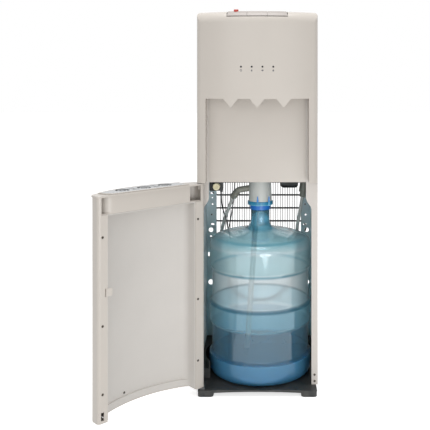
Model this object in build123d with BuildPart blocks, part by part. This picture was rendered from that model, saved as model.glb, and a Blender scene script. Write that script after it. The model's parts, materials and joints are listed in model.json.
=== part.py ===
"""Bottom load water cooler: a slim cabinet with its door swung open and the bottle in its bay.

Millimetres, +Z up. The sizes below are set out from the middle of the cabinet: X to the right,
Y from the front posts towards the back, Z up from the floor. The door is drawn closed and then
turned open about its hinge. On export everything is moved so that the origin lies on the floor,
under the middle of the whole box that the cooler takes up with its door open.
"""
from build123d import *
from math import hypot, radians, sqrt, tan
import os

# ---- cabinet -------------------------------------------------------------------------------
CABINET_W = 310.0
CABINET_D = 290.0
SHEET = 1.2
FLOOR_Z = 17.0          # top of the base tray, where panels, bottle and cradle stand
SPLIT_Z = 541.0         # underside of the fascia and of the middle shelf
TOP_Z = 973.0           # top of the fascia and of the cover
COVER_H = 22.0
PANEL_TOP = TOP_Z - COVER_H     # top edge of the side and back panels
POST_W = 16.0           # front posts, folded from the side panels
GUSSET_W = 30.0         # the posts widen to this under the fascia
GUSSET_LOW = 463.0
GUSSET_HIGH = 500.0
FLANGE_W = 30.0         # rear flanges of the side panels
HALF_IN = CABINET_W / 2 - SHEET
FIT = 0.3               # room left between two pieces that are put together

# ---- bowed plan that the fascia and the door share --------------------------------------------
FRONT_MARGIN = 1.5
FRONT_W = CABINET_W - 2 * FRONT_MARGIN
EDGE_DEPTH = 35.0       # how far the side edges stand in front of the posts
BOW_DEPTH = 75.0        # how far the middle stands in front of the posts
EDGE_R = 20.0
TOP_R = 28.0
SIDE_TOP_R = 10.0
WALL = 2.5
BOW_SAG = BOW_DEPTH - EDGE_DEPTH
BOW_R = ((FRONT_W / 2) ** 2 + BOW_SAG**2) / (2 * BOW_SAG)
BOW_Y = BOW_R - BOW_DEPTH

# ---- dispensing niche, spouts, keys and lights ---------------------------------------------------
CHEEK_W = 23.5
NICHE_W = FRONT_W - 2 * CHEEK_W
NICHE_SHARE = 0.4942    # of the height from the split to the top
NICHE_TOP = round(SPLIT_Z + NICHE_SHARE * (TOP_Z - SPLIT_Z))
NICHE_R = 3.0
NICHE_BACK_DROP = 3.5   # the sheet behind the niche hangs this far below the split
LOBE_PITCH = 66.0
SPOUT_X = (-LOBE_PITCH, 0, LOBE_PITCH)
LOBE_W = 36.0
LOBE_DROP = 22.0
SPOUT_R = 6.5
SPOUT_BORE = 3.5
SPOUT_Y = -46.0
SPOUT_LOW = NICHE_TOP - 8.0
SPOUT_HIGH = NICHE_TOP + 37.0
SPOUT_FLANGE = 4.0
KEY_W = 50.2
KEY_GAP = 0.6
KEY_DEPTH = 12.0
KEY_LOW = TOP_Z - KEY_DEPTH
KEY_BACK = -28.0
KEY_PROUD = 1.0
KEY_SKIRT = 5.0         # hangs behind the fascia's rim, so that no gap shows under the keys
KEY_SKIRT_IN = 8.0
KEY_TRAVEL = 1.8
KEY_FIT = 0.4
KEY_TAPER = 3.0         # the outer ends of the row of keys slope inwards to their top
LOCK_R = 6.0
LOCK_X = -53.0
LOCK_Y = -47.0
LOCK_HIGH = 4.0
LOCK_TRAVEL = 1.5
LOCK_DEEP = 8.0
LIGHT_PITCH = 26.7
LIGHT_R = 2.5
LIGHT_Z = TOP_Z - 139.0
BOARD_W = 124.0
BOARD_H = 100.0
BOARD_Y = -63.0
BOARD_T = 1.6
PEG_R = 3.0
PEG_IN = 8.0            # pegs stand in from the board's edges
CHIP_X = (-30.0, -8.0)
CHIP_H = 14.0
RELAY_X = (4.0, 26.0)
RELAY_H = 9.0
CAPACITOR_X = (-45.0, 36.0, 47.0)
CAPACITOR_R = 5.0
CAPACITOR_H = 12.0

# ---- door ---------------------------------------------------------------------------------------
DOOR_GAP = 3.0
DOOR_LOW = 21.0
DOOR_HIGH = 538.0
DOOR_OPEN = 137.0       # the angle at which it stands open
HINGE_IN = 8.0
HINGE_X = HINGE_IN - CABINET_W / 2
HINGE_Y = -16.5
HINGE_CORNER_R = 8.0
HINGE_PIN_R = 3.0
HINGE_PIN_LEN = 13.0
HINGE_FIT = 0.05
HINGE_LEAF = 2.2
HINGE_REACH = 13.0
BUSHING_WALL = 1.2
BOSS_WALL = 1.5
RETURN_W = 25.0         # the free edge folds back this far, and the hinge edge further
HINGE_RETURN_W = 29.0
CAP_T = 4.0             # the plate over the top of the door
CAP_OUT = 2.5           # it stands past the free edge
BEAM_H = 44.0
BEAM_BACK = 3.0         # the beam stands this far in from the plate's rear edge
BEAM_ENDS = (-108.0, 139.0)
BEAM_R = 28.0           # at the free end
POCKET_ENDS = (-140.0, 144.0)   # the folded edges are open between these at the beam's height
FLOOR_RIM = 14.0        # the door's floor is only this deep, so that it clears the bottle
LINER_INSET = 8.0
LINER_T = 1.5
LINER_R = 22.0
LINER_FLANGE = 4.0
LINER_BORDER = 6.5      # thickness of the border along the liner's lower edge
LINER_BORDER_H = 15.0
DOOR_SCREW_Z = (87.0, 242.0, 444.0)
DOOR_SCREW_X = 141.5
HINGE_SCREW_X = -131.0
HINGE_SCREW_UP = 6.0    # the hinge side's screws sit higher
SCREW_R = 3.0
SCREW_HEAD = 1.2
CATCH_X = 133.0
CATCH_Z = 317.0
CATCH_H = 18.0
CATCH_W = 4.5
CATCH_TAB = 14.0
CATCH_BASE = 9.0
CATCH_T = 1.4
SLOT_X = 141.5
SLOT_W = 8.0
SLOT_LOW = 27.0
SLOT_H = 19.0
TRAY_ENDS = (-104.0, 125.3)
TRAY_BACK = -11.0
TRAY_R = 23.0           # at the free end
TRAY_INSET = 6.0
TRAY_DEPTH = 30.0
TRAY_WALL = 2.0
TRAY_FIT = 0.4
TRAY_SEAT = 0.3
TRAY_RIM = 3.5
TRAY_RIM_T = 1.7
TRAY_RIB = 38.0
GRILLE_T = 3.0
GRILLE_HOLE_R = 17.5
GRILLE_PITCH = 61.0
GRILLE_X = 6.0
GRILLE_HOLES = (GRILLE_X - GRILLE_PITCH, GRILLE_X, GRILLE_X + GRILLE_PITCH)
GRILLE_WEBS = (GRILLE_X - GRILLE_PITCH / 2, GRILLE_X + GRILLE_PITCH / 2)
GRILLE_SLOT = 3.0
DRIP_Y = -40.0

# ---- base ----------------------------------------------------------------------------------------
SHELF_EDGE = 14.0       # upturned rear edge of the middle shelf
TRAY_FLOOR = 3.5
LIP_DROP = 5.0
SKIRT_T = 3.0
SKIRT_LOW = 5.0
BUMPER_W = 40.0
BUMPER_D = 38.0
BUMPER_R = 9.0
BUMPER_LOW = 1.0
BASE_MARGIN = 4.0
BASE_HALF = CABINET_W / 2 - BASE_MARGIN
FOOT_R = 13.0
FOOT_H = 3.0
LEDGE_TOP = 42.0
RIM_TOP = 62.0
RIM_T = 2.5
CRADLE_GAP = 11.0
CRADLE_FRONT = 40.0

# ---- bottle, cap and probe -------------------------------------------------------------------------
BOTTLE_X = 6.0
BOTTLE_Y = 110.0
BOTTLE_ROOM = 16.3
BOTTLE_R = HALF_IN - BOTTLE_ROOM
BOTTLE_WAIST = 7.5
BOTTLE_WALL = 1.6
BOTTLE_FOOT_R = 22.0
BAND_LOW = (70.0, 157.0, 304.0)
BAND_HIGH = (78.0, 150.0, 203.0, 211.0, 292.0)
SHOULDER_Z = 352.0
CREASE_IN = 11.5        # the dome starts in a crease, in from the shoulder
CREASE_Z = 376.0
NECK_FOOT_R = 47.0
NECK_FOOT_Z = 397.0
NECK_LOW = 425.0
NECK_R = 25.4
CAP_LOW = 450.0
CAP_STEP = 462.5
CAP_TOP = 472.5
CAP_SKIRT_T = 2.6
CAP_COLLAR_R = 34.0
TAB_W = 8.0
TAB_T = 1.3
TAB_TIP = 2.0
TABS = ((-6.6, 26.0), (24.0, 25.0))     # each tab's X from the axis and its height
HOOD_R = 31.5
HOOD_TOP_R = 29.5
HOOD_TOP = 529.0
HOOD_WALL = 2.5
DIP_R = 7.0
DIP_TOP = (-1.5, 484.0)
DIP_FOOT = (-32.8, 30.0)
ELBOW_R = 8.2
ELBOW_Z = 507.0
ELBOW_BEND = 9.0
ELBOW_KNEE = (-53.0, 501.0)
ELBOW_NUT = 19.0
ELBOW_NUT_WALL = 1.5

# ---- loose lines: points chosen by hand -----------------------------------------------------------
HOSE_R = 4.7
HOSE_ROUTE = [
    (-68, 125, 480.5), (-101.6, 188, 398.6), (-117, 228, 296), (-101, 252, 212), (-56, 263, 167),
    (4, 264, 150), (62, 261, 169), (104, 248, 226), (118, 226, 303), (108, 208, 372),
    (118.5, 202, 425), (125, 200, 468),
]
LEAD_R = 1.75
LEAD_ROUTE = [
    (-97, 60, 503), (-97, 60, 476), (-93, 88, 447), (-88, 128, 421), (-87, 172, 391),
    (-86, 212, 369), (-81, 232, 396), (-74, 233, 438), (-68, 226, 488), (-68, 226, 538),
]
CORD_BEND = 0.45

# ---- what hangs under the middle shelf ---------------------------------------------------------------
PUMP_X = (62.0, 112.0)
PUMP_Y = (174.0, 226.0)
PUMP_LOW = 495.0
PUMP_EDGE = 12.0
PUMP_FLANGE = 6.0
PUMP_FLANGE_T = 4.0
FITTING_R = 12.5
FITTING_UP = 62.0
FITTING_NECK = 14.0
INLET_DROP = 20.0       # the pump's inlet, below the shelf
SWITCH_X = (-127.0, -92.0)
SWITCH_Y = (40.0, 76.0)
SWITCH_LOW = 509.0
PLUNGER_R = 9.2
PLUNGER_X = -108.0
PLUNGER_Z = 521.5
PLUNGER_OUT = 15.0
PLUNGER_IN = 14.0
PLUNGER_TRAVEL = 4.0
PLUNGER_FIT = 0.3
GROMMET_R = 5.0

# ---- cooling and heating set above the shelf -----------------------------------------------------------
COMPRESSOR_X = -60.0
COMPRESSOR_Y = 200.0
COMPRESSOR_R = 60.0
TANK_SHELF_Z = NICHE_TOP + 4.0
COMPRESSOR_ROOM = 78.0
COMPRESSOR_H = TANK_SHELF_Z - SPLIT_Z - COMPRESSOR_ROOM
COMPRESSOR_TOP_R = 26.0
COMPRESSOR_FOOT_R = 14.0
COMPRESSOR_FEET = 0.78  # of its radius, out from its axis
COMPRESSOR_PLATE = 11.0
COMPRESSOR_PLATE_T = 3.0
GROMMET_H = 12.0
ISOLATOR_R = 9.0
HEADER_Z = TOP_Z - 55.0
TANK_SHELF_FRONT = 30.0
TANK_SHELF_EDGE = 16.0
TANK_Y = 118.0
TANK_X = 70.0
COLD_R = 54.0
COLD_H = HEADER_Z - TANK_SHELF_Z - 33.0
COLD_EDGE = 6.0
FOAM_T = 18.0
FOAM_DROP = 8.0
HOT_R = 44.0
HOT_H = COLD_H - 7.0
HOT_EDGE = 8.0
HOT_FOOT = 3.0
HEADER_R = 8.0
HEADER_END = 12.0
TUBE_R = 5.0
DRIER_R = 9.0
DRIER_H = 90.0
DRIER_IN = 24.0         # its axis from the side and from the back
DRIER_UP = 10.0
DRIER_PIPE_R = 2.5

# ---- back --------------------------------------------------------------------------------------------
BACK_LOW = 535.0
COIL_R = 2.5
COIL_PITCH = 38.6
COIL_ROWS = 15
COIL_TOP = 611.4
COIL_MARGIN = 15.0
COIL_HALF = CABINET_W / 2 - COIL_MARGIN
WIRE_R = 0.8
WIRE_PITCH = 7.1
WIRE_COUNT = 33
COIL_STAND = 6.0
CLIP_X = COIL_HALF - 9.0
CLIP_W = 12.0
CLIP_ROWS = (1, 13)
CLIP_SCREW_R = 3.5
PANEL_HOLES = [         # (in from the panel's outer face, height, width, height of hole)
    (17.0, 463.5, 10.0, 5.0), (17.2, 450.1, 3.6, 3.6), (17.8, 430.8, 4.6, 4.6),
    (16.1, 399.7, 5.4, 5.4), (18.5, 371.4, 10.0, 5.0), (13.1, 354.5, 13.4, 13.4),
    (13.1, 335.8, 5.0, 5.0), (15.5, 325.4, 6.4, 6.4), (7.0, 282.3, 5.0, 13.0),
    (17.5, 237.8, 4.6, 4.6), (13.1, 199.8, 15.0, 15.0),
]
SWITCH_PLATE = (74.0, 40.0, 4.0)
SWITCH_PLATE_X = 60.0
SWITCH_PLATE_Z = TOP_Z - 90.0
ROCKER = (12.0, 8.0, 20.0)
ROCKER_PITCH = 34.0
ROCKER_ROOM = 1.2
ROCKER_PIN_R = 1.5
ROCKER_PIN_LEN = 2.0
INLET_X = -95.0
INLET_Z = 690.0
INLET_R = 9.0
DRAIN_X = 95.0
DRAIN_Z = 665.0
DRAIN_R = 8.0
DRAIN_BORE = 5.5
DRAIN_OUT = 22.0
PLUG_R = 11.0
PLUG_LEN = 16.0
PLUG_FIT = 0.3


def block(x, y, z, mode=Mode.ADD):
    """A box that spans the (low, high) pairs x, y and z."""
    with Locations(((x[0] + x[1]) / 2, (y[0] + y[1]) / 2, (z[0] + z[1]) / 2)):
        Box(x[1] - x[0], y[1] - y[0], z[1] - z[0], mode=mode)


def both(low, high, side):
    """The span from low to high on the right side, or its mirror image on the left."""
    return tuple(sorted((side * low, side * high)))


def upright(x, y, z, radius, mode=Mode.ADD):
    """A cylinder along Z that spans the (low, high) pair z."""
    with Locations((x, y, (z[0] + z[1]) / 2)):
        Cylinder(radius, z[1] - z[0], mode=mode)


def along_y(x, y, z, radius, mode=Mode.ADD):
    """A cylinder along Y that spans the (low, high) pair y."""
    with Locations((x, (y[0] + y[1]) / 2, z)):
        Cylinder(radius, y[1] - y[0], rotation=(90, 0, 0), mode=mode)


def along_x(x, y, z, radius, mode=Mode.ADD):
    """A cylinder along X that spans the (low, high) pair x."""
    with Locations(((x[0] + x[1]) / 2, y, z)):
        Cylinder(radius, x[1] - x[0], rotation=(0, 90, 0), mode=mode)


def bow_y(x, inset=0.0):
    """Where the bowed front stands at x, moved back into the body by inset."""
    return BOW_Y - sqrt((BOW_R - inset) ** 2 - x**2)


def bowed_slab(z, rear, inset=0.0, ends=None, corner=None, rear_corner=None, end_corner=None,
                mode=Mode.ADD):
    """The bowed plan between two ends, from the front back to rear, extruded over the pair z."""
    left, right = ends or (inset - FRONT_W / 2, FRONT_W / 2 - inset)
    middle = (left + right) / 2
    with BuildSketch(Plane.XY.offset(z[0])) as plan:
        with BuildLine():
            Polyline((left, bow_y(left, inset)), (left, rear), (right, rear), (right, bow_y(right, inset)))
            ThreePointArc((right, bow_y(right, inset)), (middle, bow_y(middle, inset)),
                          (left, bow_y(left, inset)))
        make_face()
        if corner:
            fillet(plan.vertices().sort_by(Axis.Y)[:2], corner)
        if rear_corner:
            fillet(plan.vertices().sort_by(Axis.Y)[-2:], rear_corner)
        if end_corner:
            fillet(plan.vertices().sort_by(Axis.Y)[-2:].sort_by(Axis.X)[-1], end_corner)
    extrude(plan.sketch, amount=z[1] - z[0], mode=mode)


def rounded_front(low, top, inset=0.0):
    """A bowed body whose top edge is rounded, for the fascia, its hollow and the keys."""
    with BuildPart() as body:
        bowed_slab((low, top), 0, inset, corner=EDGE_R - inset)
        sides = body.faces().sort_by(Axis.Z)[-1].edges().filter_by(Axis.Y)
        fillet(sides, SIDE_TOP_R - inset)
        with BuildSketch(Plane((0, BOW_Y, 0), x_dir=(1, 0, 0), z_dir=(0, -1, 0))) as rim:
            with BuildLine():
                Polyline((0, low), (BOW_R - inset, low), (BOW_R - inset, top), (0, top), close=True)
            make_face()
            fillet(rim.vertices().group_by(Axis.X)[-1].sort_by(Axis.Y)[-1], TOP_R - inset)
        revolve(axis=Axis((0, BOW_Y, 0), (0, 0, 1)), mode=Mode.INTERSECT)
    return body.part


def tube_path(route, bend=CORD_BEND):
    """Straight runs joined by arcs as large as the shorter run at each point allows."""
    points = [Vector(*point) for point in route]
    radii = []
    for before, here, after in zip(points, points[1:], points[2:]):
        turn = radians((here - before).get_angle(after - here))
        run = min((here - before).length, (after - here).length)
        radii.append(bend * run / tan(turn / 2))
    return points, radii


def cord_tube(route, radius, name):
    """A round cord along its route; prints its bends so that a tight one shows."""
    points, radii = tube_path(route)
    with BuildPart() as tube:
        with BuildLine():
            path = FilletPolyline(*points, radius=radii)
        with BuildSketch(Plane(path @ 0, z_dir=path % 0)):
            Circle(radius)
        sweep()
    tube.part.label = name
    print(f"{name}: length {path.length:.0f}, bends", [round(r) for r in radii])
    return tube.part


# ---- cabinet shell ----------------------------------------------------------------------------------
def side_panel(side, name):
    """A folded steel side: outer sheet, front post with its gusset, and a rear flange with holes."""
    outer = CABINET_W / 2
    with BuildPart() as panel:
        block(both(HALF_IN, outer, side), (0, CABINET_D), (FLOOR_Z, PANEL_TOP))
        block(both(outer - FLANGE_W, outer, side), (CABINET_D - SHEET, CABINET_D), (FLOOR_Z, PANEL_TOP))
        with BuildSketch(Plane.XZ) as post:
            with BuildLine():
                post_x = side * (outer - POST_W)
                gusset_x = side * (outer - GUSSET_W)
                bend = (GUSSET_LOW + GUSSET_HIGH) / 2
                Polyline((gusset_x, GUSSET_HIGH), (gusset_x, PANEL_TOP), (side * outer, PANEL_TOP),
                         (side * outer, FLOOR_Z), (post_x, FLOOR_Z), (post_x, GUSSET_LOW))
                Bezier((post_x, GUSSET_LOW), (post_x, bend), (gusset_x, bend), (gusset_x, GUSSET_HIGH))
            make_face()
        extrude(amount=-SHEET)
        with BuildSketch(Plane.XZ.offset(-CABINET_D - SHEET)):
            for inward, height, wide, tall in PANEL_HOLES:
                with Locations((side * (outer - inward), height)):
                    if wide == tall:
                        Circle(wide / 2)
                    else:
                        RectangleRounded(wide, tall, min(wide, tall) / 2.05)
        extrude(amount=3 * SHEET, mode=Mode.SUBTRACT)
        if side > 0:
            for x, z, radius in POST_SCREWS:
                along_y(x, (-SHEET, 2 * SHEET), z, radius / 2, mode=Mode.SUBTRACT)
    panel.part.label = name
    return panel.part


POST_SCREWS = [(CABINET_W / 2 - POST_W / 2, 42.0, 2.4), (CABINET_W / 2 - POST_W / 2, 25.5, 3.4)]


def make_post_screws():
    with BuildPart() as screws:
        for x, z, radius in POST_SCREWS:
            along_y(x, (-SCREW_HEAD, 0), z, radius)
            along_y(x, (0, 8), z, radius / 2)
    screws.part.label = "post_screws"
    return screws.part


def make_back_panel():
    low, high = CABINET_D, CABINET_D + SHEET
    width, height, depth = SWITCH_PLATE
    with BuildPart() as panel:
        block((-CABINET_W / 2 + 4, CABINET_W / 2 - 4), (low, high), (BACK_LOW, PANEL_TOP))
        block((SWITCH_PLATE_X - width / 2 + 4, SWITCH_PLATE_X + width / 2 - 4),
              (low - 1, high + 1), (SWITCH_PLATE_Z - height / 2 + 4, SWITCH_PLATE_Z + height / 2 - 4),
              mode=Mode.SUBTRACT)
        along_y(INLET_X, (low - 1, high + 1), INLET_Z, INLET_R, mode=Mode.SUBTRACT)
        along_y(DRAIN_X, (low - 1, high + 1), DRAIN_Z, DRAIN_R, mode=Mode.SUBTRACT)
    panel.part.label = "back_panel"
    return panel.part


def make_mid_shelf():
    with BuildPart() as shelf:
        block((-HALF_IN, HALF_IN), (SHEET, CABINET_D - SHEET), (SPLIT_Z, SPLIT_Z + SHEET))
        block((-HALF_IN, HALF_IN), (CABINET_D - 2 * SHEET, CABINET_D - SHEET),
              (SPLIT_Z, SPLIT_Z + SHELF_EDGE))
    shelf.part.label = "mid_shelf"
    return shelf.part


def make_tank_shelf():
    low = TANK_SHELF_Z
    with BuildPart() as shelf:
        block((-HALF_IN, HALF_IN), (TANK_SHELF_FRONT, CABINET_D - SHEET), (low - SHEET, low))
        for side in (-1, 1):
            block(both(HALF_IN - SHEET, HALF_IN, side), (TANK_SHELF_FRONT, CABINET_D - SHEET),
                  (low - TANK_SHELF_EDGE, low))
    shelf.part.label = "tank_shelf"
    return shelf.part


def make_top_cover():
    half = CABINET_W / 2
    with BuildPart() as cover:
        block((-half, half), (0, CABINET_D + SHEET), (PANEL_TOP, TOP_Z))
        fillet(cover.edges().group_by(Axis.Z)[-1].sort_by(Axis.Y)[1:], SIDE_TOP_R - 2)
        block((-half + WALL, half - WALL), (WALL, CABINET_D + SHEET - WALL),
              (PANEL_TOP, TOP_Z - WALL), mode=Mode.SUBTRACT)
    cover.part.label = "top_cover"
    return cover.part


# ---- base ----------------------------------------------------------------------------------------------
def base_corners():
    """The middles of the four corner bumpers."""
    x = BASE_HALF - BUMPER_W / 2
    front = -EDGE_DEPTH - 3 + BUMPER_D / 2
    rear = CABINET_D - BUMPER_D / 2
    return [(side * x, y) for side in (-1, 1) for y in (front, rear)]


def make_base_tray():
    front = -EDGE_DEPTH
    with BuildPart() as tray:
        block((-BASE_HALF, BASE_HALF), (front, CABINET_D), (FLOOR_Z - TRAY_FLOOR, FLOOR_Z))
        for side in (-1, 1):
            block(both(BASE_HALF - SKIRT_T, BASE_HALF, side), (front + BUMPER_D / 2, CABINET_D),
                  (SKIRT_LOW, FLOOR_Z))
        block((-BASE_HALF, BASE_HALF), (CABINET_D - SKIRT_T, CABINET_D), (SKIRT_LOW, FLOOR_Z))
        span = BASE_HALF - BUMPER_W / 2
        with BuildSketch(Plane.XZ.offset(-front)):
            with BuildLine():
                low = FLOOR_Z - TRAY_FLOOR - LIP_DROP
                Polyline((-span, low), (-span, FLOOR_Z), (span, FLOOR_Z), (span, low))
                ThreePointArc((span, low), (0, low + LIP_DROP - 1), (-span, low))
            make_face()
        extrude(amount=-SKIRT_T)
        with BuildSketch(Plane.XY.offset(BUMPER_LOW)):
            for x, y in base_corners():
                with Locations((x, y)):
                    RectangleRounded(BUMPER_W, BUMPER_D, BUMPER_R)
        extrude(amount=FLOOR_Z - BUMPER_LOW)
        for x, y in base_corners():
            upright(x, y, (0, FOOT_H), FOOT_R, mode=Mode.SUBTRACT)
    tray.part.label = "base_tray"
    return tray.part


def make_rubber_feet():
    with BuildPart() as feet:
        for x, y in base_corners():
            upright(x, y, (0, FOOT_H), FOOT_R)
    feet.part.label = "rubber_feet"
    return feet.part


def make_bottle_cradle():
    """A black moulding that rings the back half of the bottle, with a ledge out to the panels."""
    recess = BOTTLE_R + CRADLE_GAP
    half = HALF_IN - FIT
    rear = CABINET_D - SHEET - FIT
    with BuildPart() as cradle:
        block((-half, half), (CRADLE_FRONT, rear), (FLOOR_Z, LEDGE_TOP))
        upright(BOTTLE_X, BOTTLE_Y, (FLOOR_Z, RIM_TOP), recess + RIM_T)
        block((-half, half), (CRADLE_FRONT - 2 * BOTTLE_R, CRADLE_FRONT), (FLOOR_Z - 1, RIM_TOP + 1),
              mode=Mode.SUBTRACT)
        for side in (-1, 1):
            block(both(half, half + 20, side), (0, rear), (FLOOR_Z - 1, RIM_TOP + 1), mode=Mode.SUBTRACT)
        upright(BOTTLE_X, BOTTLE_Y, (FLOOR_Z - 1, RIM_TOP + 1), recess, mode=Mode.SUBTRACT)
    cradle.part.label = "bottle_cradle"
    return cradle.part


# ---- fascia ----------------------------------------------------------------------------------------------
def key_span(index):
    """Low and high X of key 0, 1 or 2, from the left."""
    low = (index - 1.5) * KEY_W + (index - 1) * KEY_GAP
    return low, low + KEY_W


def make_front_fascia():
    outer = rounded_front(SPLIT_Z, TOP_Z)
    hollow = rounded_front(NICHE_TOP + WALL, TOP_Z - WALL, WALL)
    half = NICHE_W / 2
    with BuildPart() as fascia:
        add(outer)
        add(hollow, mode=Mode.SUBTRACT)
        for side in (-1, 1):
            cheek = both(half + WALL, FRONT_W / 2 - WALL, side)
            block(cheek, (-EDGE_DEPTH + WALL, 0), (SPLIT_Z + WALL, NICHE_TOP), mode=Mode.SUBTRACT)
        bowed_slab((SPLIT_Z, NICHE_TOP), 0, WALL, (-half, half), mode=Mode.SUBTRACT)
        with BuildSketch(Plane.XZ) as mouth:
            with Locations((0, (SPLIT_Z + NICHE_TOP) / 2)):
                Rectangle(NICHE_W, NICHE_TOP - SPLIT_Z)
            for index in (-1, 0, 1):
                with BuildLine():
                    x = index * LOBE_PITCH
                    Polyline((x - LOBE_W / 2, NICHE_TOP), (x, NICHE_TOP - LOBE_DROP),
                             (x + LOBE_W / 2, NICHE_TOP), close=True)
                make_face(mode=Mode.SUBTRACT)
            tips = mouth.vertices().filter_by(lambda v: 0 < NICHE_TOP - v.Y < LOBE_DROP + 1)
            fillet(tips, NICHE_R)
        extrude(amount=2 * BOW_DEPTH, mode=Mode.SUBTRACT)
        for x in SPOUT_X:
            upright(x, SPOUT_Y, (NICHE_TOP - 1, NICHE_TOP + WALL + 1), SPOUT_R, mode=Mode.SUBTRACT)
        block((key_span(0)[0] - KEY_FIT, key_span(2)[1] + KEY_FIT), (-BOW_DEPTH - 5, KEY_BACK + KEY_FIT),
              (KEY_LOW - KEY_TRAVEL - KEY_FIT, TOP_Z + 5), mode=Mode.SUBTRACT)
        for index in range(4):
            x = (index - 1.5) * LIGHT_PITCH
            along_y(x, (-BOW_DEPTH - 5, -BOW_DEPTH + 15), LIGHT_Z, LIGHT_R, mode=Mode.SUBTRACT)
        for x in (PEG_IN - BOARD_W / 2, BOARD_W / 2 - PEG_IN):
            for z in (LIGHT_Z - BOARD_H / 2 + PEG_IN, LIGHT_Z + BOARD_H / 2 - PEG_IN):
                along_y(x, (bow_y(x, WALL / 2), BOARD_Y), z, PEG_R)
    fascia.part.label = "front_fascia"
    return fascia.part


def make_niche_back():
    """The sheet behind the niche, which fills the opening between the two gussets."""
    half = NICHE_W / 2 + WALL
    between_posts = CABINET_W / 2 - GUSSET_W - FIT
    with BuildPart() as plate:
        block((-half, half), (SHEET, WALL), (SPLIT_Z + SHEET + FIT, NICHE_TOP + WALL))
        block((-between_posts, between_posts), (0, SHEET), (SPLIT_Z - NICHE_BACK_DROP, NICHE_TOP + WALL))
    plate.part.label = "niche_back"
    return plate.part


def make_key(index, name):
    """One dispensing key, cut from a body like the fascia's but standing prouder."""
    blank = rounded_front(KEY_LOW - TOP_R, TOP_Z + KEY_PROUD)
    low, high = key_span(index)
    with BuildPart() as key:
        add(blank)
        block((low, high), (-BOW_DEPTH - 5, KEY_BACK), (KEY_LOW, TOP_Z + KEY_PROUD + 1),
              mode=Mode.INTERSECT)
        bowed_slab((KEY_LOW - KEY_SKIRT, KEY_LOW), KEY_BACK - 1, KEY_SKIRT_IN, (low + 1, high - 1))
        if index != 1:
            end = low if index == 0 else high
            slope = KEY_TAPER if index == 0 else -KEY_TAPER
            top = TOP_Z + KEY_PROUD
            with BuildSketch(Plane.XZ):
                with BuildLine():
                    Polyline((end, KEY_LOW), (end + slope, top + 1), (end - slope, top + 1),
                             (end - slope, KEY_LOW), close=True)
                make_face()
            extrude(amount=2 * BOW_DEPTH, mode=Mode.SUBTRACT)
        if index == 0:
            upright(LOCK_X, LOCK_Y, (TOP_Z + KEY_PROUD - LOCK_DEEP, TOP_Z + KEY_PROUD + 1),
                    LOCK_R + PLUNGER_FIT, mode=Mode.SUBTRACT)
    key.part.label = name
    return key.part


def make_child_lock():
    face = TOP_Z + KEY_PROUD
    with BuildPart() as lock:
        upright(LOCK_X, LOCK_Y, (face - LOCK_DEEP + LOCK_TRAVEL + PLUNGER_FIT, face + LOCK_HIGH), LOCK_R)
        fillet(lock.edges().group_by(Axis.Z)[-1], 1.2)
    lock.part.label = "child_lock"
    return lock.part


def make_indicator_lenses():
    with BuildPart() as lenses:
        for index in range(4):
            x = (index - 1.5) * LIGHT_PITCH
            along_y(x, (bow_y(x) - 0.4, BOARD_Y), LIGHT_Z, LIGHT_R)
    lenses.part.label = "indicator_lenses"
    return lenses.part


def make_control_board():
    half = BOARD_W / 2
    with BuildPart() as board:
        block((-half, half), (BOARD_Y, BOARD_Y + BOARD_T), (LIGHT_Z - BOARD_H / 2, LIGHT_Z + BOARD_H / 2))
        rear = BOARD_Y + BOARD_T
        block(CHIP_X, (rear, rear + CHIP_H), (LIGHT_Z + BOARD_H / 20, LIGHT_Z + BOARD_H / 3))
        block(RELAY_X, (rear, rear + RELAY_H), (LIGHT_Z - BOARD_H / 3, LIGHT_Z - BOARD_H / 8))
        for x in CAPACITOR_X:
            along_y(x, (rear, rear + CAPACITOR_H), LIGHT_Z - BOARD_H / 5, CAPACITOR_R)
    board.part.label = "control_board"
    return board.part


def make_spouts():
    with BuildPart() as spouts:
        for x in SPOUT_X:
            upright(x, SPOUT_Y, (SPOUT_LOW, SPOUT_HIGH), SPOUT_R)
            upright(x, SPOUT_Y, (NICHE_TOP + WALL, NICHE_TOP + WALL + SPOUT_FLANGE), SPOUT_R + SPOUT_FLANGE)
            upright(x, SPOUT_Y, (SPOUT_LOW - 1, SPOUT_HIGH + 1), SPOUT_BORE, mode=Mode.SUBTRACT)
    spouts.part.label = "spouts"
    return spouts.part


# ---- door, drawn closed ------------------------------------------------------------------------------------
def stile_edges():
    """Inner edges of the door's two folded edges, the hinge side's first."""
    return HINGE_RETURN_W - FRONT_W / 2, FRONT_W / 2 - RETURN_W


def beam_low():
    return DOOR_HIGH - BEAM_H


def skin_top():
    return DOOR_HIGH - CAP_T


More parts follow.
